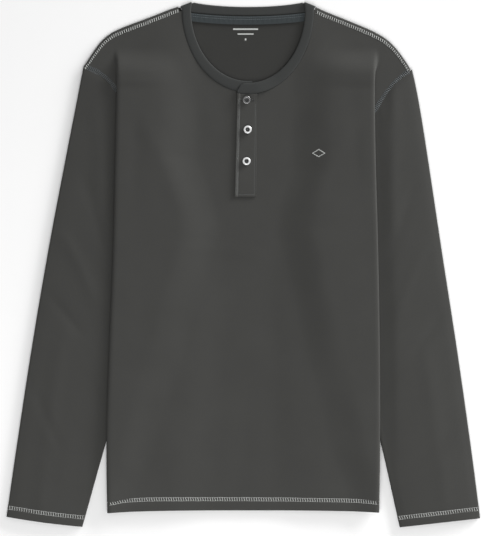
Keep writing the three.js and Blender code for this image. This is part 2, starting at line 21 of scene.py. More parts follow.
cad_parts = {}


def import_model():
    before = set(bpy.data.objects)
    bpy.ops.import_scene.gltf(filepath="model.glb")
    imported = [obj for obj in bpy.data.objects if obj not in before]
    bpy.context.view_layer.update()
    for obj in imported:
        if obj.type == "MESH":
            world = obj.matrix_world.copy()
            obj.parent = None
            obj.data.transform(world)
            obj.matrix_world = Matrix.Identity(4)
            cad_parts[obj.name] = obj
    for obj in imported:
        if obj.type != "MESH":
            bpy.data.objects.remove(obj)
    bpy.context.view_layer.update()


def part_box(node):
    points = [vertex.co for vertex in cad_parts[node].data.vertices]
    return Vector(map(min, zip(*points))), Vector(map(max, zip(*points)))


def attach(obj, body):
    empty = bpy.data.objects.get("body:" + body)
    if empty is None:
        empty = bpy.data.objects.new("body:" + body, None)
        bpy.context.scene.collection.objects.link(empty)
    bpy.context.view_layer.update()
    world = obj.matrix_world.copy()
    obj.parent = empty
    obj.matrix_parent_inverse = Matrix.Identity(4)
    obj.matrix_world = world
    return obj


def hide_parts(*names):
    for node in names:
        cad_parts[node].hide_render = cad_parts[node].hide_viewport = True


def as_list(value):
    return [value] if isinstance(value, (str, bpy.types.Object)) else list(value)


LOG = logging.getLogger("henley")

Plan = tuple[float, float]
Colour = tuple[float, float, float]
UP = Vector((0, 0, 1))


class Side(Enum):
    """The viewer's left and right."""

    LEFT = "left"
    RIGHT = "right"

    @property
    def sign(self) -> int:
        """-1 on the left and 1 on the right."""
        return -1 if self is Side.LEFT else 1


class Layer(Enum):
    """Which cloth of the body: the front lies over the back."""

    FRONT = 1
    BACK = -1


class Part(Enum):
    """The stretches of the body's section, from the middle outwards."""

    CENTRE = "centre"
    BEND = "bend"
    RETURN = "return"
    TURN = "turn"
    OUT = "out"


def mix(a: float, b: float, t: float) -> float:
    """The value a share t of the way from a to b."""
    return a + (b - a) * t


def ease(t: float) -> float:
    """A soft step from 0 to 1 as t goes from 0 to 1."""
    t = min(1.0, max(0.0, t))
    return t * t * (3 - 2 * t)


def shares(count: int, low: float = 0.0, high: float = 1.0) -> list[float]:
    """Evenly spaced values, count steps from low to high."""
    return [mix(low, high, k / count) for k in range(count + 1)]


def hump(distance: float, width: float) -> float:
    """A soft hump of height 1, which fades within a few widths of its middle."""
    return math.exp(-((distance / width) ** 2))


class Curve:
    """A smooth curve through a table of places and values."""

    def __init__(self, points: Sequence[Plan]) -> None:
        """Keeps the table, which is sorted by place."""
        self.places = [p for p, _ in points]
        self.values = [v for _, v in points]

    def at(self, place: float) -> float:
        """The curve's value at a place; outside the table its end values hold.

        Args:
            place: Where on the curve.

        Returns:
            The value there.
        """
        x, y = self.places, self.values
        last = len(x) - 1
        if place <= x[0]:
            return y[0]
        if place >= x[last]:
            return y[last]
        i = next(k for k in range(last + 1) if x[k] > place) - 1
        span = x[i + 1] - x[i]
        low, high = max(0, i - 1), min(last, i + 2)
        before = (y[i + 1] - y[low]) / (x[i + 1] - x[low]) * span
        after = (y[high] - y[i]) / (x[high] - x[i]) * span
        t = (place - x[i]) / span
        return (
            y[i] * (2 * t**3 - 3 * t**2 + 1)
            + before * (t**3 - 2 * t**2 + t)
            + y[i + 1] * (3 * t**2 - 2 * t**3)
            + after * (t**3 - t**2)
        )


def sided(*rows: tuple[float, float, float]) -> dict[Side, Curve]:
    """One curve a side, from rows of place, left value and right value."""
    return {
        Side.LEFT: Curve([(at, left) for at, left, _ in rows]),
        Side.RIGHT: Curve([(at, right) for at, _, right in rows]),
    }


BODY_EDGE = sided(
    (0.0, 0.1875, 0.1825),
    (0.076, 0.1879, 0.1825),
    (0.120, 0.1886, 0.1822),
    (0.213, 0.1906, 0.1832),
    (0.357, 0.1938, 0.1870),
    (0.500, 0.1994, 0.1894),
    (0.635, 0.2035, 0.1898),
    (0.740, 0.2023, 0.1886),
)
TUCK_DEPTH = sided(
    (0.110, 0.0005, 0.0005),
    (0.150, 0.012, 0.008),
    (0.180, 0.024, 0.018),
    (0.333, 0.073, 0.066),
    (0.740, 0.080, 0.070),
)
SLEEVE_OUTER = sided(
    (0.080, 0.2330, 0.2290),
    (0.098, 0.2368, 0.2352),
    (0.141, 0.2451, 0.2444),
    (0.213, 0.2592, 0.2562),
    (0.357, 0.2866, 0.2780),
    (0.501, 0.3112, 0.3004),
    (0.645, 0.3335, 0.3212),
    (0.745, 0.3482, 0.3344),
)
SLEEVE_INNER = sided(
    (0.320, 0.1125, 0.1140),
    (0.333, 0.1165, 0.1175),
    (0.636, 0.2052, 0.1916),
    (0.758, 0.2390, 0.2186),
)
CUFF_END = sided(
    (0.0, 0.741, 0.743),
    (0.5, 0.7492, 0.7492),
    (1.0, 0.7554, 0.756),
)
SHOULDER_FOLD = sided(
    (0.084, 0.0010, 0.0020),
    (0.0982, 0.0062, 0.0078),
    (0.112, 0.0107, 0.0142),
    (0.141, 0.0222, 0.0258),
    (0.170, 0.0330, 0.0378),
    (0.184, 0.0386, 0.0444),
    (0.199, 0.0465, 0.0536),
    (0.213, 0.0592, 0.0670),
    (0.227, 0.0790, 0.0860),
    (0.236, 0.0930, 0.1005),
)
ARMHOLE_SEAM: dict[Side, list[Plan]] = {
    Side.LEFT: [(0.250, 0.088), (0.2365, 0.093), (0.216, 0.102), (0.192, 0.124), (0.174, 0.150)],
    Side.RIGHT: [(0.250, 0.088), (0.234, 0.098), (0.210, 0.119), (0.184, 0.154), (0.163, 0.180)],
}
NECK_DEEPER = {Side.LEFT: 0.0, Side.RIGHT: 0.003}
ARMHOLE_STITCH_END = {Side.LEFT: 0.128, Side.RIGHT: 0.160}
SLOT = (-0.0164, 0.0116, 0.276)
HEM_STITCH = Curve([
    (-0.2020, 0.7222), (-0.190, 0.7198), (-0.175, 0.7172), (-0.130, 0.7155),
    (0.0, 0.7157), (0.090, 0.7164), (0.140, 0.7173), (0.170, 0.7184), (0.190, 0.7208),
])


@dataclass(frozen=True)
class NeckLine:
    """The neck seam and the neckband's free edge, in plan."""

    centre: float = 0.011
    seam: Plan = (0.095, 0.119)
    edge: Plan = (0.082, 0.103)
    seam_top: Plan = (0.0974, 0.0063)
    edge_top: Plan = (0.0815, 0.0)
    back: Plan = (0.0955, 0.012)
    back_dip: float = 0.0075
    edge_dip: float = 0.0073

    @staticmethod
    def behind(share: float, start: float, dip: float) -> float:
        """Down of a curve across the back of the neck, at a share of its half width."""
        return start + dip * max(0.0, 1 - share * share) ** 0.8


NECK = NeckLine()


@dataclass(frozen=True)
class Crease:
    """A soft ridge, or a trough where its height is below zero, laid on the cloth."""

    start: Plan
    end: Plan
    width: float
    height: float
    bow: float = 0.0

    def lift(self, out: float, down: float) -> float:
        """How far the crease lifts the cloth at a place.

        Args:
            out: Distance to the viewer's right of the centre line.
            down: Distance below the high point of the shoulder.

        Returns:
            The lift in metres.
        """
        ax, ay = self.start
        dx, dy = self.end[0] - ax, self.end[1] - ay
        length = math.hypot(dx, dy)
        along = ((out - ax) * dx + (down - ay) * dy) / length**2
        if not -0.4 < along < 1.4:
            return 0.0
        across = ((out - ax) * dy - (down - ay) * dx) / length
        across -= self.bow * 4 * along * (1 - along)
        if abs(across) > 3 * self.width:
            return 0.0
        ends = ease((along + 0.15) / 0.4) * ease((1.15 - along) / 0.4)
        return self.height * ends * hump(across, self.width)


FRONT_CREASES = (
    Crease((-0.168, 0.150), (-0.085, 0.315), 0.015, 0.00050, 0.006),
    Crease((-0.158, 0.125), (-0.165, 0.290), 0.013, -0.00035),
    Crease((0.160, 0.160), (0.088, 0.290), 0.014, 0.00045, -0.005),
    Crease((0.150, 0.120), (0.158, 0.260), 0.012, -0.00030),
    Crease((-0.070, 0.380), (-0.098, 0.700), 0.024, 0.00050, 0.008),
    Crease((-0.140, 0.420), (-0.150, 0.690), 0.018, -0.00040, -0.004),
    Crease((0.052, 0.400), (0.082, 0.690), 0.022, 0.00045, -0.006),
    Crease((0.135, 0.440), (0.146, 0.660), 0.016, -0.00035),
    Crease((0.000, 0.520), (-0.018, 0.725), 0.018, -0.00040, 0.004),
    Crease((-0.130, 0.352), (0.020, 0.366), 0.009, 0.00022, 0.004),
    Crease((0.010, 0.330), (0.150, 0.318), 0.008, -0.00018, -0.003),
    Crease((-0.100, 0.060), (-0.050, 0.180), 0.016, 0.00030, 0.004),
    Crease((0.110, 0.050), (0.060, 0.170), 0.015, 0.00028, -0.004),
)
BACK_CREASES = (
    Crease((-0.060, 0.160), (-0.100, 0.420), 0.016, 0.00055, 0.006),
    Crease((0.070, 0.190), (0.030, 0.400), 0.014, 0.00045, -0.005),
    Crease((-0.020, 0.430), (-0.050, 0.690), 0.020, 0.00060, 0.006),
    Crease((0.060, 0.460), (0.086, 0.700), 0.015, 0.00050, -0.004),
    Crease((-0.060, 0.350), (0.080, 0.362), 0.010, 0.00030, 0.003),
    Crease((0.010, 0.560), (0.016, 0.716), 0.012, 0.00035),
)
SLEEVE_CREASES: dict[Side, tuple[Crease, ...]] = {
    Side.LEFT: (
        Crease((-0.222, 0.130), (-0.214, 0.300), 0.010, 0.00060, 0.004),
        Crease((-0.236, 0.250), (-0.206, 0.352), 0.008, -0.00045),
        Crease((-0.270, 0.330), (-0.222, 0.430), 0.009, 0.00055, 0.004),
        Crease((-0.288, 0.420), (-0.238, 0.480), 0.007, -0.00045),
        Crease((-0.262, 0.470), (-0.286, 0.640), 0.012, 0.00060, -0.004),
        Crease((-0.306, 0.560), (-0.268, 0.650), 0.008, -0.00040),
        Crease((-0.290, 0.650), (-0.300, 0.735), 0.010, 0.00050),
    ),
    Side.RIGHT: (
        Crease((0.1990, 0.110), (0.2012, 0.158), 0.0032, -0.00085),
        Crease((0.2080, 0.118), (0.2110, 0.180), 0.007, 0.00060),
        Crease((0.214, 0.180), (0.206, 0.330), 0.010, 0.00055, -0.004),
        Crease((0.240, 0.260), (0.204, 0.370), 0.008, -0.00045),
        Crease((0.258, 0.350), (0.216, 0.450), 0.009, 0.00055, -0.004),
        Crease((0.280, 0.450), (0.236, 0.510), 0.007, -0.00045),
        Crease((0.252, 0.500), (0.272, 0.660), 0.012, 0.00060, 0.004),
        Crease((0.278, 0.650), (0.284, 0.735), 0.010, 0.00045),
    ),
}


def unevenness(out: float, down: float, amount: float) -> float:
    """The slight waviness of cloth smoothed by hand.

    Args:
        out: Distance to the viewer's right of the centre line.
        down: Distance below the high point of the shoulder.
        amount: The greatest height of the waves.

    Returns:
        The height of the cloth above its even place.
    """
    broad = noise.noise(Vector((out * 11, down * 8, 3.1)))
    small = noise.noise(Vector((out * 34, down * 26, 7.7)))
    return amount * (0.7 * broad + 0.3 * small)


@dataclass(frozen=True)
class SectionPoint:
    """A point of the body's section, on the surface midway between front and back."""

    part: Part
    out: float
    height: float
    angle: float
    half: float
    run: float

    def on(self, layer: Layer) -> tuple[float, float]:
        """Out and height of the middle of the front's or the back's cloth here."""
        shift = layer.value * self.half
        return self.out + shift * math.sin(self.angle), self.height + shift * math.cos(self.angle)


@dataclass(frozen=True)
class Tuck:
    """How one side of the body is tucked under at one height."""

    bend: float
    depth: float
    turn: float
    radius: float
    full: bool
    rise: float


@dataclass
class BodyLayout:
    """The section of the body at every height: flat in the middle and folded at the sides."""

    cloth: float = 0.001
    gap: float = 0.0003
    air: float = 0.0016
    tuck_start: float = 0.066
    tuck_opening: float = 0.060
    least_plateau: float = 0.040
    plateau_margin: float = 0.004
    plateau_ramp: float = 0.080
    sleeve_ramp: float = 0.060
    margin_high: float = 0.018
    margin_low: float = 0.008
    margin_from: float = 0.640
    margin_over: float = 0.060
    armpit_down: float = 0.333
    sheet_reach: float = 0.246
    slow_from: float = 0.006
    slow_over: float = 0.170
    slow_reach: float = 0.110
    slow_ramp: float = 0.095
    columns: dict[Part, int] = field(default_factory=lambda: {
        Part.CENTRE: 48, Part.BEND: 7, Part.RETURN: 16, Part.TURN: 5, Part.OUT: 15,
    })

    def __post_init__(self) -> None:
        """Works out the heights that the layers' pitch gives."""
        self.ply = self.cloth + self.gap
        self.tube_pitch = self.cloth + self.air
        self.tube_mid = self.cloth / 2 + self.tube_pitch / 2
        self.tube_height = 2 * self.cloth + self.air
        self.full_drop = 5 * self.ply
        self.fold_radius = self.full_drop / 4
        self.fold_reach = self.fold_radius + (self.tube_pitch + self.ply) / 4 + self.cloth / 2

    def tuck(self, down: float, side: Side) -> Tuck:
        """The tuck at a height: it opens below the shoulder until the fold is complete."""
        bend = BODY_EDGE[side].at(down) - self.fold_reach
        depth = TUCK_DEPTH[side].at(down)
        turn = max(1e-3, math.pi * ease((down - self.tuck_start) / self.tuck_opening))
        radius = math.pi * self.fold_radius / turn
        full = turn > math.pi - 1e-6
        drop = self.full_drop
        if not full:
            drop = 2 * radius * (1 - math.cos(turn)) + depth * math.sin(turn)
        return Tuck(bend, depth, turn, radius, full, drop / self.full_drop)

    def sleeve_lift(self, out: float, down: float, side: Side, tuck: Tuck) -> float:
        """How far the sleeve underneath lifts the body's layers."""
        inner = tuck.bend - max(tuck.depth, self.least_plateau)
        if down >= self.armpit_down:
            inner = SLEEVE_INNER[side].at(down)
        share = ease((down - self.margin_from) / self.margin_over)
        margin = mix(self.margin_high, self.margin_low, share)
        return (self.tube_height + self.gap) * (1 - ease((inner - margin - out) / self.sleeve_ramp))

    def mid_height(self, out: float, down: float, side: Side, tuck: Tuck | None = None) -> float:
        """Height of the surface midway between front and back in the flat part."""
        tuck = tuck or self.tuck(down, side)
        plateau = tuck.bend - max(tuck.depth, self.least_plateau) - self.plateau_margin
        over_tuck = 1 - ease((plateau - out) / self.plateau_ramp)
        lift = self.sleeve_lift(out, down, side, tuck) + 2 * self.ply * over_tuck
        slow = ease((down - self.slow_from) / self.slow_over)
        beside = ease((out - tuck.bend + self.slow_reach) / self.slow_ramp)
        rise = mix(slow, tuck.rise, beside)
        return self.tube_mid + rise * lift

    def front_top(self, out: float, down: float) -> float:
        """Height of the front's upper face at a place in its flat part."""
        side = Side.RIGHT if out > 0 else Side.LEFT
        return self.mid_height(abs(out), down, side) + self.tube_pitch / 2 + self.cloth / 2

    def section(self, down: float, side: Side) -> list[SectionPoint]:
        """The section at a height, from the centre line outwards.

        Args:
            down: Distance below the high point of the shoulder.
            side: Which half.

        Returns:
            Its points, as many at every height.
        """
        tuck = self.tuck(down, side)
        pitch, tight = self.tube_pitch / 2, self.ply / 2
        tight = mix(pitch, tight, tuck.turn / math.pi)
        points: list[SectionPoint] = []

        def add(part: Part, out: float, height: float, angle: float, half: float) -> None:
            """Adds a point and the length of cloth that leads to it."""
            run = 0.0
            if points:
                last = points[-1]
                run = last.run + math.hypot(out - last.out, height - last.height)
            points.append(SectionPoint(part, out, height, angle, half, run))

        count = self.columns
        for k in range(count[Part.CENTRE] + 1):
            out = tuck.bend * k / count[Part.CENTRE]
            add(Part.CENTRE, out, self.mid_height(out, down, side, tuck), 0.0, pitch)
        out, height = points[-1].out, points[-1].height
        for k in range(1, count[Part.BEND] + 1):
            a = tuck.turn * k / count[Part.BEND]
            half = mix(pitch, tight, k / count[Part.BEND])
            x = out + tuck.radius * math.sin(a)
            add(Part.BEND, x, height - tuck.radius * (1 - math.cos(a)), a, half)
        out, height = points[-1].out, points[-1].height
        for k in range(1, count[Part.RETURN] + 1):
            run = tuck.depth * k / count[Part.RETURN]
            if tuck.full:
                x = out - run
                z = self.sleeve_lift(x, down, side, tuck) + self.cloth / 2 + self.ply / 2
            else:
                x = out + run * math.cos(tuck.turn)
                z = height - run * math.sin(tuck.turn)
            add(Part.RETURN, x, z, tuck.turn, tight)
        out, height = points[-1].out, points[-1].height
        for k in range(1, count[Part.TURN] + 1):
            a = tuck.turn * (1 - k / count[Part.TURN])
            half = mix(tight, pitch, k / count[Part.TURN])
            x = out + tuck.radius * (math.sin(tuck.turn) - math.sin(a))
            z = height - tuck.radius * (math.cos(a) - math.cos(tuck.turn))
            add(Part.TURN, x, z, a, half)
        out = points[-1].out
        for k in range(1, count[Part.OUT] + 1):
            x = mix(out, self.sheet_reach, k / count[Part.OUT])
            add(Part.OUT, x, self.tube_mid, 0.0, pitch)
        return points


@dataclass(frozen=True)
class Placement:
    """Turns places on the shirt into points of the shared frame."""

    centre: float
    top: float

    @classmethod
    def from_button(cls, node: str, out: float, down: float) -> "Placement":
        """Finds the frame's origin from the box of a button whose place is known."""
        low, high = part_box(node)
        return cls((low[0] + high[0]) / 2 - out, (low[1] + high[1]) / 2 + down)

    def point(self, out: float, down: float, height: float) -> Vector:
        """The point of the frame at a place on the shirt."""
        return Vector((self.centre + out, self.top - down, height))

    def back(self, co: Vector) -> Plan:
        """Out and down of a point of the frame."""
        return co.x - self.centre, self.top - co.y


class Outline:
    """A closed outline in plan that cloth is cut along."""

    def __init__(self, points: Sequence[Plan], place: Placement) -> None:
        """Keeps the outline as points of the frame.

        Args:
            points: Out and down of its corners, in order.
            place: Where the shirt lies.
        """
        self.points = [place.point(out, down, 0.0) for out, down in points]
        self.low = Vector((min(p.x for p in self.points), min(p.y for p in self.points), 0))
        self.high = Vector((max(p.x for p in self.points), max(p.y for p in self.points), 0))

    def holds(self, co: Vector) -> bool:
        """Whether a point lies inside the outline, seen from above."""
        if not (self.low.x < co.x < self.high.x and self.low.y < co.y < self.high.y):
            return False
        inside = False
        for a, b in zip(self.points, self.points[1:] + self.points[:1]):
            if (a.y > co.y) != (b.y > co.y):
                if co.x < a.x + (b.x - a.x) * (co.y - a.y) / (b.y - a.y):
                    inside = not inside
        return inside

    def cut(self, bm: BMesh, below: float = 1.0) -> None:
        """Cuts away the cloth inside the outline.

        Args:
            bm: The cloth's mesh.
            below: Only faces lower than this are cut.
        """
        reach = 0.0002
        bins: dict[tuple[int, int], dict[BMFace, None]] = {}

        def file(face: BMFace) -> None:
            """Puts a face in the bin of its middle."""
            middle = face.calc_center_median()
            if middle.z < below:
                bins.setdefault(self._bin(middle), {})[face] = None

        for face in bm.faces:
            file(face)
        for a, b in zip(self.points, self.points[1:] + self.points[:1]):
            step = b - a
            if step.length < 1e-6:
                continue
            low = Vector((min(a.x, b.x) - reach, min(a.y, b.y) - reach))
            high = Vector((max(a.x, b.x) + reach, max(a.y, b.y) + reach))
            (left, foot), (right, head) = self._bin(low), self._bin(high)
            close = dict.fromkeys(f for i in range(left - 1, right + 2)
                                  for j in range(foot - 1, head + 2) for f in bins.get((i, j), ()))
            faces = [f for f in close if f.is_valid and self._meets(f, low, high)]
            if not faces:
                continue
            geom = list({v for f in faces for v in f.verts})
            geom += list({e for f in faces for e in f.edges})
            done = bmesh.ops.bisect_plane(
                bm, geom=geom + faces, dist=1e-7, plane_co=a, plane_no=(step.y, -step.x, 0))
            for made in done["geom"]:
                if isinstance(made, BMFace):
                    file(made)
        gone = [f for f in bm.faces
                if f.calc_center_median().z < below and self.holds(f.calc_center_median())]
        bmesh.ops.delete(bm, geom=gone, context="FACES")

    @staticmethod
    def _bin(co: Vector, size: float = 0.008) -> tuple[int, int]:
        """The bin that a point falls in."""
        return math.floor(co.x / size), math.floor(co.y / size)

    @staticmethod
    def _meets(face: BMFace, low: Vector, high: Vector) -> bool:
        """Whether a face's box meets another box in plan."""
        xs = [v.co.x for v in face.verts]
        ys = [v.co.y for v in face.verts]
        return max(xs) > low.x and min(xs) < high.x and max(ys) > low.y and min(ys) < high.y


def grid_of(rows: int, columns: int, place_of: Callable[[int, int], tuple[Vector, Vector] | None],
            closed: bool = False) -> BMesh:
    """A grid of cloth, each of whose places is laid by a function.

    Args:
        rows: How many rows of points.
        columns: How many columns of points.
        place_of: Gives the point and the flat place in the cut, or None where there is no cloth.
        closed: Whether the last column joins the first.

    Returns:
        The mesh, with the flat place kept in the attribute "cut".
    """
    bm = bmesh.new()
    cut = bm.verts.layers.float_vector.new("cut")
    bmesh.ops.create_grid(bm, x_segments=columns - 1, y_segments=rows - 1, size=0.5)
    missing = []
    for v in bm.verts:
        found = place_of(round((v.co.y + 0.5) * (rows - 1)), round((v.co.x + 0.5) * (columns - 1)))
        if found is None:
            missing.append(v)
        else:
            v.co, v[cut] = found
    bmesh.ops.delete(bm, geom=missing, context="VERTS")
    if closed:
        bmesh.ops.remove_doubles(bm, verts=bm.verts, dist=1e-6)
    return bm


def thicken(bm: BMesh, thickness: float) -> None:
    """Gives cloth its thickness, half to either side.

    Args:
        bm: The cloth's middle surface.
        thickness: The cloth's thickness.
    """
    bmesh.ops.recalc_face_normals(bm, faces=bm.faces)
    bm.normal_update()
    for v in bm.verts:
        v.co += v.normal * (thickness / 2)
    bmesh.ops.solidify(bm, geom=bm.faces, thickness=thickness)
    bm.normal_update()


def to_object(bm: BMesh, name: str, sharp: float = 0.7) -> Object:
    """Makes a smooth-shaded object of a mesh, with its hard edges kept.

    Args:
        bm: The mesh, freed here.
        name: The object's name.
        sharp: Edges that bend by more than this angle stay hard.

    Returns:
        The object, in the scene.
    """
    for f in bm.faces:
        f.smooth = True
    for e in bm.edges:
        if len(e.link_faces) == 2 and e.calc_face_angle(0.0) > sharp:
            e.smooth = False
    mesh = bpy.data.meshes.new(name)
    bm.to_mesh(mesh)
    bm.free()
    obj = bpy.data.objects.new(name, mesh)
    bpy.context.scene.collection.objects.link(obj)
    return obj


# Finishes


class NodeKit:
    """Short calls for building a node tree."""

    def __init__(self, tree: NodeTree) -> None:
        """Keeps the tree that the nodes go into."""
        self.tree = tree

    def add(self, kind: str, inputs: dict[str | int, object] | None = None,
            **settings: object) -> Node:
        """Adds a node, sets it, and joins or fills its inputs.

        Args:
            kind: The node's type name.
            inputs: Values or output sockets for its inputs.
            **settings: The node's own properties.

        Returns:
            The node.
        """
        node = self.tree.nodes.new(kind)
        for key, value in settings.items():
            setattr(node, key, value)
        for key, value in (inputs or {}).items():
            if isinstance(value, NodeSocket):
                self.tree.links.new(value, node.inputs[key])
            else:
                node.inputs[key].default_value = value
        return node

    def math(self, operation: str, a: object, b: object = 0.0) -> NodeSocket:
        """The output of a Math node."""
        return self.add("ShaderNodeMath", {0: a, 1: b}, operation=operation).outputs[0]

    def weigh(self, a: object, of_a: float, b: object, of_b: float) -> NodeSocket:
        """The sum of two values, each with its own weight."""
        return self.math("ADD", self.math("MULTIPLY", a, of_a), self.math("MULTIPLY", b, of_b))


class EffectGroups:
    """The shader node groups that several finishes share, each built once."""

    def __init__(self) -> None:
        """Builds the groups."""
        self.knit = self._knit()
        self.mottle = self._mottle()

    @staticmethod
    def _start(name: str, takes: dict[str, str],
               gives: dict[str, str]) -> tuple[NodeKit, Node, Node]:
        """A new group with named inputs and outputs."""
        tree = bpy.data.node_groups.new(name, "ShaderNodeTree")
        for direction, sockets in (("INPUT", takes), ("OUTPUT", gives)):
            for socket, kind in sockets.items():
                tree.interface.new_socket(name=socket, in_out=direction, socket_type=kind)
        kit = NodeKit(tree)
        return kit, kit.add("NodeGroupInput"), kit.add("NodeGroupOutput")

    def _knit(self) -> NodeTree:
        """Loops of a knit, or the ribs of a twill where the lean isn't zero."""
        number = "NodeSocketFloat"
        kit, start, end = self._start(
            "Knit", {"Place": "NodeSocketVector", "Wale": number, "Course": number, "Lean": number},
            {"Height": number})
        split = kit.add("ShaderNodeSeparateXYZ", {0: start.outputs["Place"]})
        leaning = kit.math("MULTIPLY", split.outputs[1], start.outputs["Lean"])
        across = kit.math("ADD", split.outputs[0], leaning)
        wale = kit.math("DIVIDE", across, start.outputs["Wale"])
        course = kit.math("DIVIDE", split.outputs[1], start.outputs["Course"])
        rib = kit.math("COSINE", kit.math("MULTIPLY", wale, 2 * math.pi))
        shifted = kit.math("ADD", course, kit.math("MULTIPLY", kit.math("ABSOLUTE", rib), 0.35))
        loop = kit.math("COSINE", kit.math("MULTIPLY", shifted, 2 * math.pi))
        both = kit.weigh(rib, 0.3, loop, 0.2)
        kit.tree.links.new(kit.math("ADD", both, 0.5), end.inputs["Height"])
        return kit.tree

    def _mottle(self) -> NodeTree:
        """Uneven depth of dye: broad clouds and a fine grain between two colours."""
        kit, start, end = self._start(
            "Mottle",
            {"Place": "NodeSocketVector", "Deep": "NodeSocketColor", "Pale": "NodeSocketColor",
             "Cloud": "NodeSocketFloat", "Grain": "NodeSocketFloat", "Wear": "NodeSocketFloat"},
            {"Color": "NodeSocketColor", "Grain": "NodeSocketFloat"})
        cloud = kit.add("ShaderNodeTexNoise", {
            "Vector": start.outputs["Place"], "Scale": start.outputs["Cloud"],
            "Detail": 3.0, "Roughness": 0.55})
        grain = kit.add("ShaderNodeTexNoise", {
            "Vector": start.outputs["Place"], "Scale": start.outputs["Grain"],
            "Detail": 2.0, "Roughness": 0.6})
        part = kit.weigh(cloud.outputs["Fac"], 0.55, grain.outputs["Fac"], 0.45)
        share = kit.math("ADD", part, start.outputs["Wear"])
        blend = kit.add("ShaderNodeMix", {
            0: share, 6: start.outputs["Deep"], 7: start.outputs["Pale"]}, data_type="RGBA")
        blend.clamp_factor = True
        kit.tree.links.new(blend.outputs[2], end.inputs["Color"])
        kit.tree.links.new(grain.outputs["Fac"], end.inputs["Grain"])
        return kit.tree


@dataclass(frozen=True)
class Finish:
    """A finish, with the two ends of its uneven colour."""

    name: str
    deep: Colour
    pale: Colour

    def make(self, groups: EffectGroups) -> Material:
        """Builds the material.

        Args:
            groups: The shared effects.

        Returns:
            The material.
        """
        material = bpy.data.materials.new(self.name)
        material.use_nodes = True
        material.node_tree.nodes.clear()
        kit = NodeKit(material.node_tree)
        kit.add("ShaderNodeOutputMaterial", {"Surface": self.shade(kit, groups).outputs[0]})
        return material

    def dye(self, kit: NodeKit, groups: EffectGroups, **inputs: object) -> Node:
        """The shared uneven colour, between this finish's two ends."""
        ends = {"Deep": (*self.deep, 1), "Pale": (*self.pale, 1)}
        return kit.add("ShaderNodeGroup", ends | inputs, node_tree=groups.mottle)

    def shade(self, kit: NodeKit, groups: EffectGroups) -> Node:
        """The finish's own shader."""
        raise NotImplementedError


@dataclass(frozen=True)
class ClothFinish(Finish):
    """Knitted or woven cloth: its dye, loops and nap."""

    wale: float = 0.0009
    course: float = 0.0007
    lean: float = 0.0
    relief: float = 0.00006
    roughness: float = 0.88
    sheen: float = 0.05
    gloss: float = 0.16
    cloud: float = 16.0
    grain: float = 420.0

    def shade(self, kit: NodeKit, groups: EffectGroups) -> Node:
        """Loops of yarn in an uneven dye, placed by the cut of the cloth."""
        cut = kit.add("ShaderNodeAttribute", attribute_name="cut").outputs["Vector"]
        worn = kit.add("ShaderNodeAttribute", attribute_name="worn").outputs["Fac"]
        loops = kit.add("ShaderNodeGroup", {
            "Place": cut, "Wale": self.wale, "Course": self.course, "Lean": self.lean,
        }, node_tree=groups.knit)
        dye = self.dye(kit, groups, Place=cut, Cloud=self.cloud, Grain=self.grain, Wear=worn)
        height = kit.weigh(loops.outputs["Height"], 1.0, dye.outputs["Grain"], 0.8)
        bump = kit.add("ShaderNodeBump", {
            "Height": height, "Distance": self.relief, "Strength": 0.6})
        return kit.add("ShaderNodeBsdfPrincipled", {
            "Base Color": dye.outputs["Color"], "Roughness": self.roughness,
            "Sheen Weight": self.sheen, "Sheen Roughness": 0.5, "Specular IOR Level": self.gloss,
            "Normal": bump.outputs["Normal"]})


@dataclass(frozen=True)
class ThreadFinish(Finish):
    """Twisted sewing thread."""

    roughness: float = 0.55
    sheen: float = 0.2
    cloud: float = 300.0
    grain: float = 2400.0
    ply: float = 0.0004
    twist: float = 0.0009
    relief: float = 0.00005

    def shade(self, kit: NodeKit, groups: EffectGroups) -> Node:
        """Slanting plies in an uneven dye."""
        place = kit.add("ShaderNodeTexCoord").outputs["Object"]
        twist = kit.add("ShaderNodeGroup", {
            "Place": place, "Wale": self.ply, "Course": self.twist, "Lean": 1.0,
        }, node_tree=groups.knit)
        dye = self.dye(kit, groups, Place=place, Cloud=self.cloud, Grain=self.grain)
        bump = kit.add("ShaderNodeBump", {
            "Height": twist.outputs["Height"], "Distance": self.relief, "Strength": 0.5})
        return kit.add("ShaderNodeBsdfPrincipled", {
            "Base Color": dye.outputs["Color"], "Roughness": self.roughness,
            "Sheen Weight": self.sheen, "Normal": bump.outputs["Normal"]})


@dataclass(frozen=True)
class MouldedFinish(Finish):
    """Moulded plastic or plated shell of a button, or the studio floor."""

    roughness: float = 0.3
    metallic: float = 0.0
    grain: float = 900.0
    relief: float = 0.00002
    scuff: float = 0.12

    def shade(self, kit: NodeKit, groups: EffectGroups) -> Node:
        """A smooth shell with a faint grain in its colour and its polish."""
        place = kit.add("ShaderNodeTexCoord").outputs["Object"]
        dye = self.dye(kit, groups, Place=place, Cloud=self.grain / 6, Grain=self.grain)
        grain = dye.outputs["Grain"]
        rough = kit.weigh(grain, self.scuff, self.roughness - self.scuff / 2, 1.0)
        bump = kit.add("ShaderNodeBump", {
            "Height": grain, "Distance": self.relief, "Strength": 0.3})
        return kit.add("ShaderNodeBsdfPrincipled", {
            "Base Color": dye.outputs["Color"], "Roughness": rough, "Metallic": self.metallic,
            "Normal": bump.outputs["Normal"]})


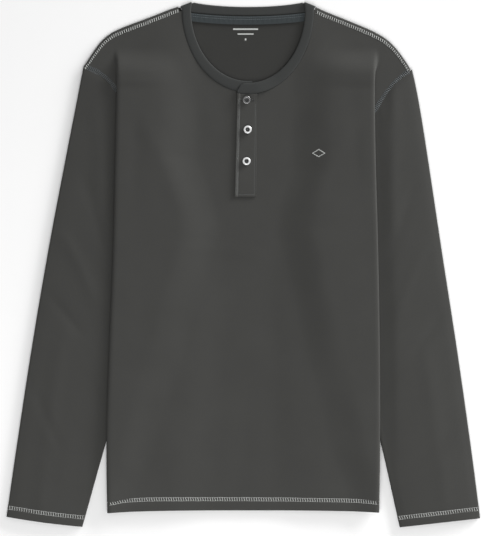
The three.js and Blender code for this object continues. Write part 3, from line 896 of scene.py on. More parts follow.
class Wardrobe:
    """The finishes of this shirt, each made once."""

    def __init__(self) -> None:
        """Makes the materials."""
        groups = EffectGroups()

        def made(kind: type[Finish], name: str, deep: Colour, pale: Colour,
                 **settings: float) -> Material:
            """The material of one finish."""
            return kind(name, deep, pale, **settings).make(groups)

        self.jersey = made(
            ClothFinish, "jersey", (0.0358, 0.0358, 0.0338), (0.0486, 0.0486, 0.0458))
        # The reverse side of the jersey, made darker than the cloth is as painted shade for the
        # inside back seen through the neck.
        self.reverse = made(
            ClothFinish, "jersey_reverse_painted_shade", (0.0248, 0.0248, 0.0234), (0.0338, 0.0338, 0.0318))
        self.band = made(
            ClothFinish, "neckband_jersey", (0.0280, 0.0293, 0.0287), (0.0380, 0.0398, 0.0389))
        self.tape = made(
            ClothFinish, "neck_tape_twill", (0.0235, 0.0282, 0.0300), (0.0390, 0.0465, 0.0492),
            wale=0.0014, course=0.0011, lean=1.0, relief=0.00012, roughness=0.8)
        self.pale_thread = made(
            ThreadFinish, "pale_thread", (0.33, 0.34, 0.33), (0.50, 0.51, 0.495))
        self.tonal_thread = made(
            ThreadFinish, "tonal_thread", (0.055, 0.062, 0.062), (0.085, 0.093, 0.092))
        self.dark_thread = made(
            ThreadFinish, "dark_thread", (0.008, 0.008, 0.008), (0.016, 0.016, 0.016))
        self.blue_thread = made(
            ThreadFinish, "blue_thread", (0.062, 0.074, 0.082), (0.098, 0.114, 0.124))
        self.edge_thread = made(
            ThreadFinish, "edge_thread", (0.085, 0.088, 0.085), (0.135, 0.139, 0.135))
        self.rim = made(
            MouldedFinish, "button_rim", (0.80, 0.81, 0.81), (0.90, 0.90, 0.90),
            roughness=0.32, metallic=0.55)
        # A darker copy of the same plated rim: a painted dark reflection for the tilted top button.
        self.rim_painted_dark_reflection = made(
            MouldedFinish, "button_rim_painted_dark_reflection", (0.16, 0.16, 0.16), (0.28, 0.28, 0.28),
            roughness=0.14, metallic=0.7)
        self.dish = made(
            MouldedFinish, "button_dish", (0.028, 0.029, 0.029), (0.048, 0.048, 0.048),
            roughness=0.45)
        self.floor = made(
            MouldedFinish, "studio_floor", (0.81, 0.81, 0.81), (0.83, 0.83, 0.83),
            roughness=0.9, grain=30.0, relief=0.0)


@dataclass
class Dresser:
    """Puts a finished piece on the frame."""

    shirt: Placement
    wardrobe: Wardrobe

    def place(self, obj: Object, material: Material, slot: str, *nodes: str) -> Object:
        """Gives a piece its material and body, and hides the CAD nodes that it replaces.

        Args:
            obj: The piece.
            material: Its finish.
            slot: The name of the finish's slot; not used.
            *nodes: The CAD nodes that it replaces.

        Returns:
            The piece.
        """
        if not obj.data.materials:
            obj.data.materials.append(material)
        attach(obj, "root")
        if nodes:
            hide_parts(*nodes)
        LOG.info("%s: %d faces", obj.name, len(obj.data.polygons))
        return obj

    def lay(self, bm: BMesh, thickness: float, name: str, node: str) -> Object:
        """Gives a sheet of jersey its thickness and puts it on the frame.

        Args:
            bm: The sheet's middle surface.
            thickness: The cloth's thickness.
            name: The piece's name.
            node: The CAD node that it replaces.

        Returns:
            The piece.
        """
        thicken(bm, thickness)
        return self.place(to_object(bm, name), self.wardrobe.jersey, "jersey", node)


# Body


def shoulder_path(side: Side, inset: float, steps: int = 36) -> list[tuple[Vector, Vector]]:
    """The shoulder fold of one side, moved in by a distance.

    Args:
        side: Which shoulder.
        inset: How far inside the fold the path runs.
        steps: How many steps it takes.

    Returns:
        For each point its place as (out, down) and the way out of the fold there.
    """
    fold, tip = SHOULDER_FOLD[side], ARMHOLE_SEAM[side][1][0]
    path = []
    for out in shares(steps, NECK.seam_top[0], tip):
        tangent = Vector((0.002, fold.at(out - 0.001) - fold.at(out + 0.001))).normalized()
        outwards = Vector((-tangent.y, -tangent.x))
        path.append((Vector((out, fold.at(out))) - inset * outwards, outwards))
    return path


@dataclass
class BodyPanel:
    """The front or the back of the body."""

    layer: Layer
    layout: BodyLayout
    dresser: Dresser
    thickness: float = 0.0009
    cell: float = 0.0039
    top: float = -0.008
    hem_down: float = 0.7316
    hem_dip: float = 0.0032
    hem_half: float = 0.195
    hem_rise: float = 0.00025
    hem_groove: float = 0.0003
    seam_allowance: float = 0.0072
    slot_from: float = 0.100
    flat_round: Plan = (0.097, 0.124)
    flat_fade: float = 0.12
    waviness: float = 0.00030
    seam_sliver: float = 0.00002
    cut_from: float = 0.084
    far_out: float = 0.260
    far_up: float = -0.030

    def rows(self) -> list[float]:
        """The heights of the grid's rows, with each place that a part ends at among them."""
        opening = self.layout.tuck_start, self.layout.tuck_start + self.layout.tuck_opening
        stops = sorted({self.top, *opening, 0.150, 0.180, self.layout.armpit_down, self.hem_down})
        rows = [stops[0]]
        for a, b in zip(stops, stops[1:]):
            steps = max(1, math.ceil((b - a) / self.cell))
            rows += [mix(a, b, k / steps) for k in range(1, steps + 1)]
        return rows

    def relief(self, out: float, down: float) -> float:
        """Height that creases, waviness and the turned-up hem add in the flat part."""
        stitch = HEM_STITCH.at(out)
        if self.layer is Layer.BACK:
            lift = max(0.0, sum(c.lift(out, down) for c in BACK_CREASES))
            return lift * (1 - ease((down - stitch + 0.012) / 0.010))
        edge = BODY_EDGE[Side.RIGHT if out > 0 else Side.LEFT].at(down)
        free = ease((edge - 0.006 - abs(out)) / 0.020)
        lift = sum(c.lift(out, down) for c in FRONT_CREASES) + unevenness(out, down, self.waviness)
        near_slot = ease((abs(out + 0.002) - 0.018) / 0.012) if down < 0.290 else 1.0
        wide, deep = self.flat_round
        near_neck = math.hypot(out / wide, (down - NECK.centre) / deep) - 1
        near_neck = ease(near_neck / self.flat_fade)
        fold = SHOULDER_FOLD[Side.RIGHT if out > 0 else Side.LEFT].at(abs(out))
        near_neck *= ease((down - fold - 0.009) / 0.014)
        hem = self.hem_rise * ease((down - stitch) / 0.002)
        groove = -self.hem_groove * hump(down - stitch, 0.0035)
        return lift * free * near_slot * near_neck + hem + groove

    def build(self) -> BMesh:
        """Lays the panel's middle surface and cuts it to its outline.

        Returns:
            The mesh, without thickness.
        """
        rows = self.rows()
        ends = {
            side: {
                Part.OUT: ARMHOLE_SEAM[side][-1][1],
                Part.TURN: (ARMHOLE_SEAM[side][-1][1] if self.layer is Layer.FRONT
                            else self.layout.armpit_down),
            } for side in Side
        }
        sections = [{side: self.layout.section(down, side) for side in Side} for down in rows]
        half = len(sections[0][Side.LEFT]) - 1
        shirt = self.dresser.shirt

        def place_of(i: int, j: int) -> tuple[Vector, Vector] | None:
            """The point of row i and column j."""
            side = Side.RIGHT if j >= half else Side.LEFT
            p = sections[i][side][abs(j - half)]
            down = rows[i]
            if down > ends[side].get(p.part, math.inf) + 1e-4:
                return None
            out, height = p.on(self.layer)
            out *= side.sign
            if p.part is Part.CENTRE:
                height += self.relief(out, down)
            dip = self.hem_dip * (p.out / self.hem_half) ** 4 * ease((down - 0.60) / 0.13)
            return shirt.point(out, down + dip, height), Vector((side.sign * p.run, down, 0))

        bm = grid_of(len(rows), 2 * half + 1, place_of)
        if self.layer is Layer.FRONT:
            self._cut_front(bm)
        else:
            self._cut_back(bm)
        return bm

    def _cut_shoulder(self, bm: BMesh, inset: float) -> None:
        """Cuts both shoulders along the fold moved in by a distance."""
        for side in Side:
            path = [p for p, _ in shoulder_path(side, inset)]
            outline = [(self.cut_from, path[0].y - 0.004), *[tuple(p) for p in path],
                       (self.far_out, path[-1].y + 0.014), (self.far_out, self.far_up),
                       (self.cut_from, self.far_up)]
            Outline([(side.sign * out, down) for out, down in outline], self.dresser.shirt).cut(bm)

    def _cut_armholes(self, bm: BMesh) -> None:
        """Cuts both armholes, in the layers under the tuck only."""
        for side in Side:
            *seam, (_, down) = ARMHOLE_SEAM[side]
            tuck = self.layout.tuck(down, side)
            inner = tuck.bend - tuck.depth
            foot = down + 0.006
            outline = [*seam, (inner, down), (inner, foot), (0.280, foot), (0.280, seam[0][1])]
            below = self.layout.tube_height + self.layout.gap / 2
            Outline([(side.sign * out, d) for out, d in outline], self.dresser.shirt).cut(bm, below)

    def _cut_front(self, bm: BMesh) -> None:
        """Cuts the front's shoulders, armholes, neck and placket slot."""
        gap = self.layout.gap
        self._cut_shoulder(bm, self.seam_allowance + self.seam_sliver)
        self._cut_armholes(bm)
        arc = []
        for k in range(91):
            a = math.pi * k / 90
            deep = NECK.seam[1] + gap + NECK_DEEPER[Side.RIGHT if k < 45 else Side.LEFT]
            arc.append(((NECK.seam[0] + gap) * math.cos(a), NECK.centre + deep * math.sin(a)))
        self._cut_neck(bm, arc)
        left, right, bottom = SLOT
        slot = [(left, self.slot_from), (left, bottom), (right, bottom), (right, self.slot_from)]
        Outline(slot, self.dresser.shirt).cut(bm)

    def _cut_back(self, bm: BMesh) -> None:
        """Cuts the back's shoulders, wraps it over them and cuts its armholes and neck."""
        radius = self.layout.tube_pitch / 2
        leg = radius + self.layout.cloth / 2
        self._cut_shoulder(bm, leg)
        for side in Side:
            self._wrap_shoulder(bm, side, radius, leg)
        self._cut_armholes(bm)
        half = NECK.back[0] + self.layout.gap
        start = NECK.back[1] + self.seam_sliver
        self._cut_neck(bm, [(half * share, NECK.behind(share, start, NECK.back_dip))
                            for share in shares(60, 1, -1)])

    def _cut_neck(self, bm: BMesh, curve: list[Plan]) -> None:
        """Cuts the neck along a curve that runs from the viewer's right to the left."""
        side, top = NECK.seam_top[0] + self.layout.gap, NECK.seam_top[1]
        hole = [*curve, (-side, top), (-side, self.far_up), (side, self.far_up), (side, top)]
        Outline(hole, self.dresser.shirt).cut(bm)

    def _wrap_shoulder(self, bm: BMesh, side: Side, radius: float, leg: float) -> None:
        """Draws the back's cloth over the shoulder fold to the seam on the front."""
        shirt = self.dresser.shirt
        line, fold = shoulder_path(side, leg), shoulder_path(side, 0.0)

        def on_line(co: Vector) -> tuple[Vector, Vector] | None:
            """The place on the fold beside a point of the cut edge, and the way out there."""
            out, down = shirt.back(co)
            spot = Vector((side.sign * out, down))
            for (a, _), (b, _), (p, n), (q, m) in zip(line, line[1:], fold, fold[1:]):
                step = b - a
                t = (spot - a).dot(step) / step.length_squared
                if -0.01 <= t <= 1.01 and (a + step * t - spot).length < 6e-5:
                    return p.lerp(q, t), n.lerp(m, t).normalized()
            return None

        known = {v: on_line(v.co) for e in bm.edges if e.is_boundary for v in e.verts}
        edges = [e for e in bm.edges if e.is_boundary and all(known[v] for v in e.verts)]
        found = {self._key(v.co): known[v] for e in edges for v in e.verts}
        rings = [(leg - radius * math.cos(a), self.layout.tube_mid + radius * math.sin(a))
                 for a in (math.pi * (k / 8 - 0.5) for k in range(1, 9))]
        rings.append((self.seam_allowance / 2 + leg / 2, self.layout.tube_mid + radius))
        rings.append((self.seam_allowance, self.layout.tube_mid + radius))
        cut = bm.verts.layers.float_vector["cut"]
        for inset, height in rings:
            made = bmesh.ops.extrude_edge_only(bm, edges=edges)["geom"]
            edges = [g for g in made if isinstance(g, BMEdge)]
            fresh = {}
            for v in (g for g in made if isinstance(g, BMVert)):
                p, n = found[self._key(v.co)]
                place = p - inset * n
                before = v.co.copy()
                v.co = shirt.point(side.sign * place.x, place.y, height)
                v[cut] = v[cut] - Vector((0, (v.co - before).length, 0))
                fresh[self._key(v.co)] = (p, n)
            found = fresh

    @staticmethod
    def _key(co: Vector) -> tuple[int, int, int]:
        """A point's place in hundredths of a micrometre, to find it again."""
        return tuple(round(c * 1e8) for c in co)

    def dress(self) -> Object:
        """Builds the panel and puts it on the frame.

        Returns:
            The panel.
        """
        name = "front" if self.layer is Layer.FRONT else "back"
        obj = self.dresser.lay(self.build(), self.thickness, f"{name}_cloth", f"{name}_panel")
        if self.layer is Layer.BACK:
            # The upward faces inside the back take the darker reverse jersey, partly the cloth's
            # reverse side and partly painted shade inside the neck.
            obj.data.materials.append(self.dresser.wardrobe.reverse)
            for face in obj.data.polygons:
                if face.normal.z > 0.3 and face.center.z < self.layout.tube_mid:
                    face.material_index = 1
        return obj


# Sleeves


@dataclass
class Sleeve:
    """A flattened tube of cloth from the armhole to the cuff."""

    side: Side
    layout: BodyLayout
    dresser: Dresser
    thickness: float = 0.0009
    flats: int = 34
    arc: int = 6
    rows: int = 165
    cap_top: float = 0.086
    cap_bottom: float = 0.326
    crown: float = 0.0019
    crown_ramp: float = 0.010
    crevice: float = 0.0017
    stitch_up: float = 0.0138
    cuff_rise: float = 0.00022
    cuff_groove: float = 0.0003
    waviness: float = 0.0003
    body_end: float = 0.735

    def __post_init__(self) -> None:
        """Works out the cap's curve from the armhole seam."""
        seam = self.seam()
        runs = [0.0]
        for a, b in zip(seam, seam[1:]):
            runs.append(runs[-1] + math.dist(a, b))
        cap = [(run / runs[-1], out - 0.005, down - 0.003) for run, (out, down) in zip(runs, seam)]
        outer, inner = SLEEVE_OUTER[self.side], SLEEVE_INNER[self.side]
        cap[0] = (0.0, outer.at(self.cap_top), self.cap_top)
        cap[-1] = (1.0, inner.at(self.cap_bottom), self.cap_bottom)
        self.cap_out = Curve([(c, out) for c, out, _ in cap])
        self.cap_down = Curve([(c, down) for c, _, down in cap])

    def seam(self) -> list[Plan]:
        """The armhole seam in plan, from the shoulder tip to the armpit in the fold."""
        hidden = ARMHOLE_SEAM[self.side][-1][1]
        rows = [hidden, 0.215, 0.255, 0.295, self.layout.armpit_down]
        if hidden < 0.180:
            rows.insert(1, 0.180)
        tucks = [(self.layout.tuck(down, self.side), down) for down in rows]
        return ARMHOLE_SEAM[self.side][:-1] + [(t.bend - t.depth, down) for t, down in tucks]

    def spot(self, t: float, c: float) -> Vector:
        """Out and down of a place on the flat sleeve.

        Args:
            t: From 0 at the cap to 1 at the cuff.
            c: From 0 at the outer edge to 1 at the inner edge.

        Returns:
            The place.
        """
        end = CUFF_END[self.side]

        def edge(table: Curve, top: float, share: float, u: float) -> Vector:
            """A place on one edge of the sleeve."""
            down = mix(top, end.at(share), u)
            return Vector((table.at(down), down))

        outer, inner = SLEEVE_OUTER[self.side], SLEEVE_INNER[self.side]
        a, b = edge(outer, self.cap_top, 0, t), edge(inner, self.cap_bottom, 1, t)
        a0, b0 = edge(outer, self.cap_top, 0, 0), edge(inner, self.cap_bottom, 1, 0)
        a1, b1 = edge(outer, self.cap_top, 0, 1), edge(inner, self.cap_bottom, 1, 1)
        cap = Vector((self.cap_out.at(c), self.cap_down.at(c)))
        cuff = Vector((mix(a1.x, b1.x, c), end.at(c)))
        return (a.lerp(b, c) + cap.lerp(cuff, t)
                - a0.lerp(b0, c) * (1 - t) - a1.lerp(b1, c) * t)

    def relief(self, out: float, down: float, c: float, t: float) -> float:
        """Height that creases, the crown and the turned-up cuff add on the upper side."""
        edge = BODY_EDGE[self.side].at(down)
        free = ease((out - edge - 0.001) / self.crown_ramp) if down < self.body_end else 1.0
        signed = self.side.sign * out
        lift = sum(c_.lift(signed, down) for c_ in SLEEVE_CREASES[self.side])
        lift += self.crown * math.sin(math.pi * c) ** 0.7 + unevenness(signed, down, self.waviness)
        rim = ease(c / 0.10) * ease((1 - c) / 0.10) * ease((t - 0.004) / 0.02)
        left = (1 - t) * self.stitch_up / (1 - self.stitch_t(c))
        hem = self.cuff_rise * ease((self.stitch_up - left) / 0.002)
        groove = -self.cuff_groove * hump(left - self.stitch_up, 0.0035)
        beside = hump(out - edge - 0.001, 0.0036)
        fading = 1 - 0.5 * ease((down - 0.26) / 0.10)
        dip = -self.crevice * beside * fading * (down < self.body_end)
        return lift * free * rim + hem + groove * rim + dip * rim

    def stitch_t(self, c: float) -> float:
        """How far along the sleeve the cuff's stitching lies."""
        return 1 - self.stitch_up / (self.spot(1, c) - self.spot(0, c)).length

    @property
    def length(self) -> float:
        """Length of the sleeve's outer edge."""
        return (self.spot(1, 0) - self.spot(0, 0)).length

    def top_point(self, t: float, c: float) -> Vector:
        """A point on the upper side of the sleeve."""
        at = self.spot(t, c)
        top = self.layout.tube_height + self.relief(at.x, at.y, c, t)
        return self.dresser.shirt.point(self.side.sign * at.x, at.y, top)

    def build(self) -> BMesh:
        """Lays the tube's middle surface and cuts it along the armhole.

        Returns:
            The mesh, without thickness.
        """
        radius = self.layout.tube_pitch / 2
        reach = radius + self.layout.cloth / 2
        shirt = self.dresser.shirt
        ring: list[tuple[float, float, bool]] = []
        for k in range(self.flats + 1):
            ring.append((k / self.flats, math.pi / 2, False))
        for k in range(1, self.arc):
            ring.append((1.0, math.pi * (0.5 + k / self.arc), True))
        for k in range(self.flats + 1):
            ring.append((1 - k / self.flats, 1.5 * math.pi, False))
        for k in range(1, self.arc):
            ring.append((0.0, math.pi * (1.5 + k / self.arc), True))
        ring.append(ring[0])
        rails = []
        for i in range(self.rows + 1):
            t = i / self.rows
            a, b = self.spot(t, 0), self.spot(t, 1)
            rails.append((t, reach / (a - b).length, (a - b).normalized()))
        length = self.length

        def place_of(i: int, j: int) -> tuple[Vector, Vector]:
            """The point of row i and ring point j."""
            t, inset, outwards = rails[i]
            c, angle, bulge = ring[j]
            c = mix(inset, 1 - inset, c)
            at = self.spot(t, c)
            height = self.layout.tube_mid + radius * math.sin(angle)
            if bulge:
                at = at + outwards * (radius * math.cos(angle))
            elif angle < math.pi:
                height += self.relief(at.x, at.y, c, t)
            half_round = 0.11 * (c if angle <= math.pi else 2 - c)
            return (shirt.point(self.side.sign * at.x, at.y, height),
                    Vector((half_round, t * length, 0)))

        bm = grid_of(self.rows + 1, len(ring), place_of, closed=True)
        gap = self.layout.gap
        seam = [(out + gap, down + gap) for out, down in self.seam()]
        out, down = seam[-1]
        outline = [(0.250, 0.020), *seam, (out - 0.030, down), (0.060, 0.020)]
        Outline([(self.side.sign * o, d) for o, d in outline], shirt).cut(bm)
        return bm

    def dress(self) -> Object:
        """Builds the sleeve and puts it on the frame.

        Returns:
            The sleeve.
        """
        name = f"sleeve_{self.side.value}"
        return self.dresser.lay(self.build(), self.thickness, f"{name}_cloth", name)


# Neck


@dataclass(frozen=True)
class BandStation:
    """Where the neckband's two edges lie, how far up, and which way its face looks."""

    edge: Vector
    seam: Vector
    height: float
    up: Vector


@dataclass
class Neckband:
    """One doubled strip round the neck, whose ends lap at the placket."""

    layout: BodyLayout
    dresser: Dresser
    band: float = 0.0016
    under_end: float = 0.007
    over_end: float = -0.0154
    climb: float = 0.034
    climb_from: float = 0.022
    corner: float = 0.0115
    arc_steps: int = 70
    back_steps: int = 60
    back_reach: float = 0.985
    ring: int = 26
    crown: float = 0.00025

    def _front(self, side: Side, end: float, lifted: bool) -> list[BandStation]:
        """Stations from one end of the band up to the shoulder."""
        stop = math.acos(end / (side.sign * NECK.seam[0]))
        low = self.layout.tube_pitch + self.band / 2
        spots = []
        for k in range(self.arc_steps + 1):
            a = stop * k / self.arc_steps
            ends = []
            for out, deep in (NECK.edge, NECK.seam):
                deep += NECK_DEEPER[side]
                out *= side.sign
                ends.append(Vector((out * math.cos(a), NECK.centre + deep * math.sin(a))))
            left = stop * (1 - k / self.arc_steps) * NECK.edge[0]
            rise = (self.band + self.layout.gap) * ease(1 - (left - self.climb_from) / self.climb)
            spots.append((ends[0], ends[1], low + (rise if lifted else 0.0)))
        if lifted:
            tip = spots[-1][0]
            width = NECK.seam[1] - NECK.edge[1]
            rounded = []
            for edge, seam, height in spots:
                short = self.corner - (edge - tip).length
                if short > 0:
                    drop = (self.corner - math.sqrt(self.corner**2 - short**2)) / width
                    edge = edge.lerp(seam, min(0.96, drop))
                rounded.append((edge, seam, height))
            spots = rounded
        return [BandStation(e, s, h, UP) for e, s, h in reversed(spots)]

    def _fold(self, side: Side) -> list[BandStation]:
        """Stations round the fold at the shoulder, from the front to the back."""
        edge = Vector((side.sign * NECK.edge_top[0], NECK.edge_top[1]))
        seam = Vector((side.sign * NECK.seam_top[0], NECK.seam_top[1]))
        along = (seam - edge).normalized()
        outwards = Vector((along.y, -along.x)) * (1 if side is Side.RIGHT else -1)
        radius = self.layout.tube_pitch / 2
        reach = radius + self.band / 2
        stations = []
        for k in range(13):
            a = math.pi * (0.5 - k / 12)
            shift = -outwards * (reach - radius * math.cos(a))
            up = Vector((outwards.x * math.cos(a), -outwards.y * math.cos(a), math.sin(a)))
            height = self.band / 2 + radius + radius * math.sin(a)
            stations.append(BandStation(edge + shift, seam + shift, height, up))
        return stations

    def _back(self) -> list[BandStation]:
        """Stations across the back of the neck, from the viewer's left to the right."""
        stations = []
        lines = ((*NECK.edge_top, NECK.edge_dip), (*NECK.back, NECK.back_dip))
        for share in shares(self.back_steps, -self.back_reach, self.back_reach)[1:-1]:
            ends = [Vector((half * share, NECK.behind(share, start, dip)))
                    for half, start, dip in lines]
            stations.append(BandStation(*ends, self.band / 2, -UP))
        return stations

    def stations(self) -> list[BandStation]:
        """The whole strip, from its under end on the left round the back to its upper end."""
        left = self._front(Side.LEFT, self.under_end, False) + self._fold(Side.LEFT)
        right = self._front(Side.RIGHT, self.over_end, True) + self._fold(Side.RIGHT)
        return left + self._back() + right[::-1]

    def dress(self) -> Object:
        """Builds the band as a soft doubled strip and puts it on the frame.

        Returns:
            The neckband.
        """
        stations = self.stations()
        shirt = self.dresser.shirt
        runs = [0.0]
        for a, b in zip(stations, stations[1:]):
            runs.append(runs[-1] + (b.seam - a.seam).length)

        def place_of(i: int, j: int) -> tuple[Vector, Vector]:
            """The point of station i, going round the strip's own section."""
            s = stations[i]
            edge, seam = shirt.point(*s.edge, s.height), shirt.point(*s.seam, s.height)
            a = 2 * math.pi * (j % self.ring) / self.ring
            width = (seam - edge).length
            round_share = min(0.5, self.band / 2 / width)
            across = math.copysign(abs(math.cos(a)) ** 0.35, math.cos(a))
            up = math.copysign(abs(math.sin(a)) ** 0.55, math.sin(a))
            share = 0.5 + across * 0.5
            middle = 1 - abs(across) ** 4
            ply = self.band / 2 * up + math.copysign(self.crown * middle, up) * (s.up.z > 0.5)
            if share < round_share:
                ply *= math.sqrt(max(0.0, 1 - (1 - share / round_share) ** 2))
            return edge.lerp(seam, share) + s.up * ply, Vector((width * share, runs[i], 0))

        bm = grid_of(len(stations), self.ring + 1, place_of, closed=True)
        bmesh.ops.holes_fill(bm, edges=[e for e in bm.edges if e.is_boundary], sides=0)
        bmesh.ops.recalc_face_normals(bm, faces=bm.faces)
        obj = to_object(bm, "neckband_cloth", sharp=1.2)
        return self.dresser.place(obj, self.dresser.wardrobe.band, "jersey", "neckband")


@dataclass
class NeckTape:
    """The twill tape sewn over the back neck seam, inside."""

    layout: BodyLayout
    dresser: Dresser
    half: float = 0.086
    below: float = 0.0012
    width: float = 0.012
    thickness: float = 0.0008
    steps: int = 110
    lanes: int = 14

    def down(self, out: float) -> float:
        """Where the tape's upper edge runs."""
        half, start = NECK.back
        return NECK.behind(out / half, start, NECK.back_dip) + self.below

    def dress(self) -> Object:
        """Builds the tape and puts it on the frame.

        Returns:
            The tape.
        """
        middle = self.layout.cloth + self.layout.gap + self.layout.cloth / 2
        shirt = self.dresser.shirt

        def place_of(i: int, j: int) -> tuple[Vector, Vector]:
            """The point of lane i, at step j along the tape."""
            out = mix(-self.half, self.half, j / self.steps)
            across = self.width * i / self.lanes
            ripple = 0.00008 * math.sin(out * 900) * math.sin(math.pi * i / self.lanes)
            point = shirt.point(out, self.down(out) + across, middle + ripple)
            return point, Vector((out, across, 0))

        bm = grid_of(self.lanes + 1, self.steps + 1, place_of)
        thicken(bm, self.thickness)
        obj = to_object(bm, "neck_tape_twill")
        return self.dresser.place(obj, self.dresser.wardrobe.tape, "tape", "neck_tape")


# Placket


@dataclass
class Placket:
    """The two strips that the shirt buttons with."""

    layout: BodyLayout
    dresser: Dresser
    top_left: float = -0.0156
    bottom_left: float = -0.0196
    top_right: float = 0.0132
    bottom_right: float = 0.0118
    bottom: float = 0.2806
    cloth: float = 0.0012
    seam_curve: Plan = (0.0953, 0.1223)
    under_top: float = 0.1306
    edge_stitch: float = 0.0046
    right_stitch: float = 0.0022
    bottom_stitch: float = 0.0032
    top_rise: float = 0.0008
    groove: float = 0.00022
    groove_width: float = 0.0009
    roll: float = 0.00050
    wave: float = 0.00016
    pucker: float = 0.00007
    flat_top: float = 0.13
    lanes: int = 40
    steps: int = 150
    under_lanes: int = 14
    under_steps: int = 60
    worn_at: float = 0.0032
    worn_width: float = 0.0022

    def under(self) -> Object:
        """The lower strip, which fills the slot and carries the buttons."""
        gap, shirt = self.layout.gap, self.dresser.shirt
        left, right, bottom = SLOT

        def place_of(i: int, j: int) -> tuple[Vector, Vector]:
            """The point of row i and lane j."""
            out = mix(left + gap, right - gap, j / self.under_lanes)
            down = mix(self.under_top, bottom - gap, i / self.under_steps)
            height = self.layout.tube_pitch + self.layout.cloth / 2
            return shirt.point(out, down, height), Vector((out, down, 0))

        bm = grid_of(self.under_steps + 1, self.under_lanes + 1, place_of)
        return self.dresser.lay(bm, self.layout.cloth, "placket_under_cloth", "placket_under")

    @property
    def base(self) -> float:
        """Height of the middle of the upper strip."""
        return self.layout.tube_pitch + self.layout.cloth + self.layout.gap + self.cloth / 2

    def top_at(self, out: float) -> float:
        """Where the upper strip meets the neckband."""
        half, deep = self.seam_curve
        return NECK.centre + deep * math.sqrt(1 - (out / half) ** 2)

    def across(self, share: float, fall: float) -> float:
        """Out of a place on the upper strip."""
        left = mix(self.top_left, self.bottom_left, fall)
        right = mix(self.top_right, self.bottom_right, fall)
        return mix(left, right, share)

    def relief(self, share: float, fall: float) -> float:
        """Height of the upper strip's face above its even place."""
        width = self.top_right - self.top_left
        left, right = share * width, (1 - share) * width
        foot = (1 - fall) * (self.bottom - self.top_at(0))
        groove = hump(left - self.edge_stitch, self.groove_width)
        groove += 0.7 * hump(right - self.right_stitch, self.groove_width)
        groove += 0.7 * hump(foot - self.bottom_stitch, self.groove_width)
        roll = self.roll * hump(left - 0.0020, 0.0018)
        wave = self.wave * noise.noise(Vector((share * 2.2, fall * 9, 0.4)))
        pucker = self.pucker * math.sin(fall * 260) * hump(left - self.edge_stitch, 0.002)
        top = fall * (self.bottom - self.top_at(0))
        shoulder = self.top_rise * hump(top, 0.0055)
        return roll + wave + pucker - self.groove * groove + shoulder

    def point(self, share: float, fall: float, above: float = 0.0) -> Vector:
        """A point on the middle of the upper strip, or above it."""
        out = self.across(share, fall)
        down = mix(self.top_at(out), self.bottom, fall)
        return self.dresser.shirt.point(out, down, self.base + self.relief(share, fall) + above)

    def face(self, out: float, down: float, above: float) -> Vector:
        """A point a little above the face of the upper strip, from its place on the shirt."""
        top = self.top_at(out)
        fall = (down - top) / (self.bottom - top)
        left, right = self.across(0, fall), self.across(1, fall)
        return self.point((out - left) / (right - left), fall, self.cloth / 2 + above)

    def upper(self) -> Object:
        """The upper strip, with its free edge on the viewer's left."""
        def place_of(i: int, j: int) -> tuple[Vector, Vector]:
            """The point of row i and lane j."""
            share, fall = j / self.lanes, i / self.steps
            flat = Vector((self.across(share, fall), mix(self.flat_top, self.bottom, fall), 0))
            return self.point(share, fall), flat

        bm = grid_of(self.steps + 1, self.lanes + 1, place_of)
        worn = bm.verts.layers.float.new("worn")
        for v in bm.verts:
            out, down = self.dresser.shirt.back(v.co)
            fall = (down - self.flat_top) / (self.bottom - self.flat_top)
            v[worn] = 0.9 * hump(out - self.across(0, fall) - self.worn_at, self.worn_width) + 0.12
        thicken(bm, self.cloth)
        rim = [e for e in bm.edges if len(e.link_faces) == 2 and e.calc_face_angle(0.0) > 1.0]
        bmesh.ops.bevel(bm, geom=rim, affect="EDGES", offset=0.0003, segments=2, profile=0.5,
                        material=-1, clamp_overlap=True)
        obj = to_object(bm, "placket_upper_cloth", sharp=1.2)
        return self.dresser.place(obj, self.dresser.wardrobe.jersey, "jersey", "placket_upper")


# Buttons


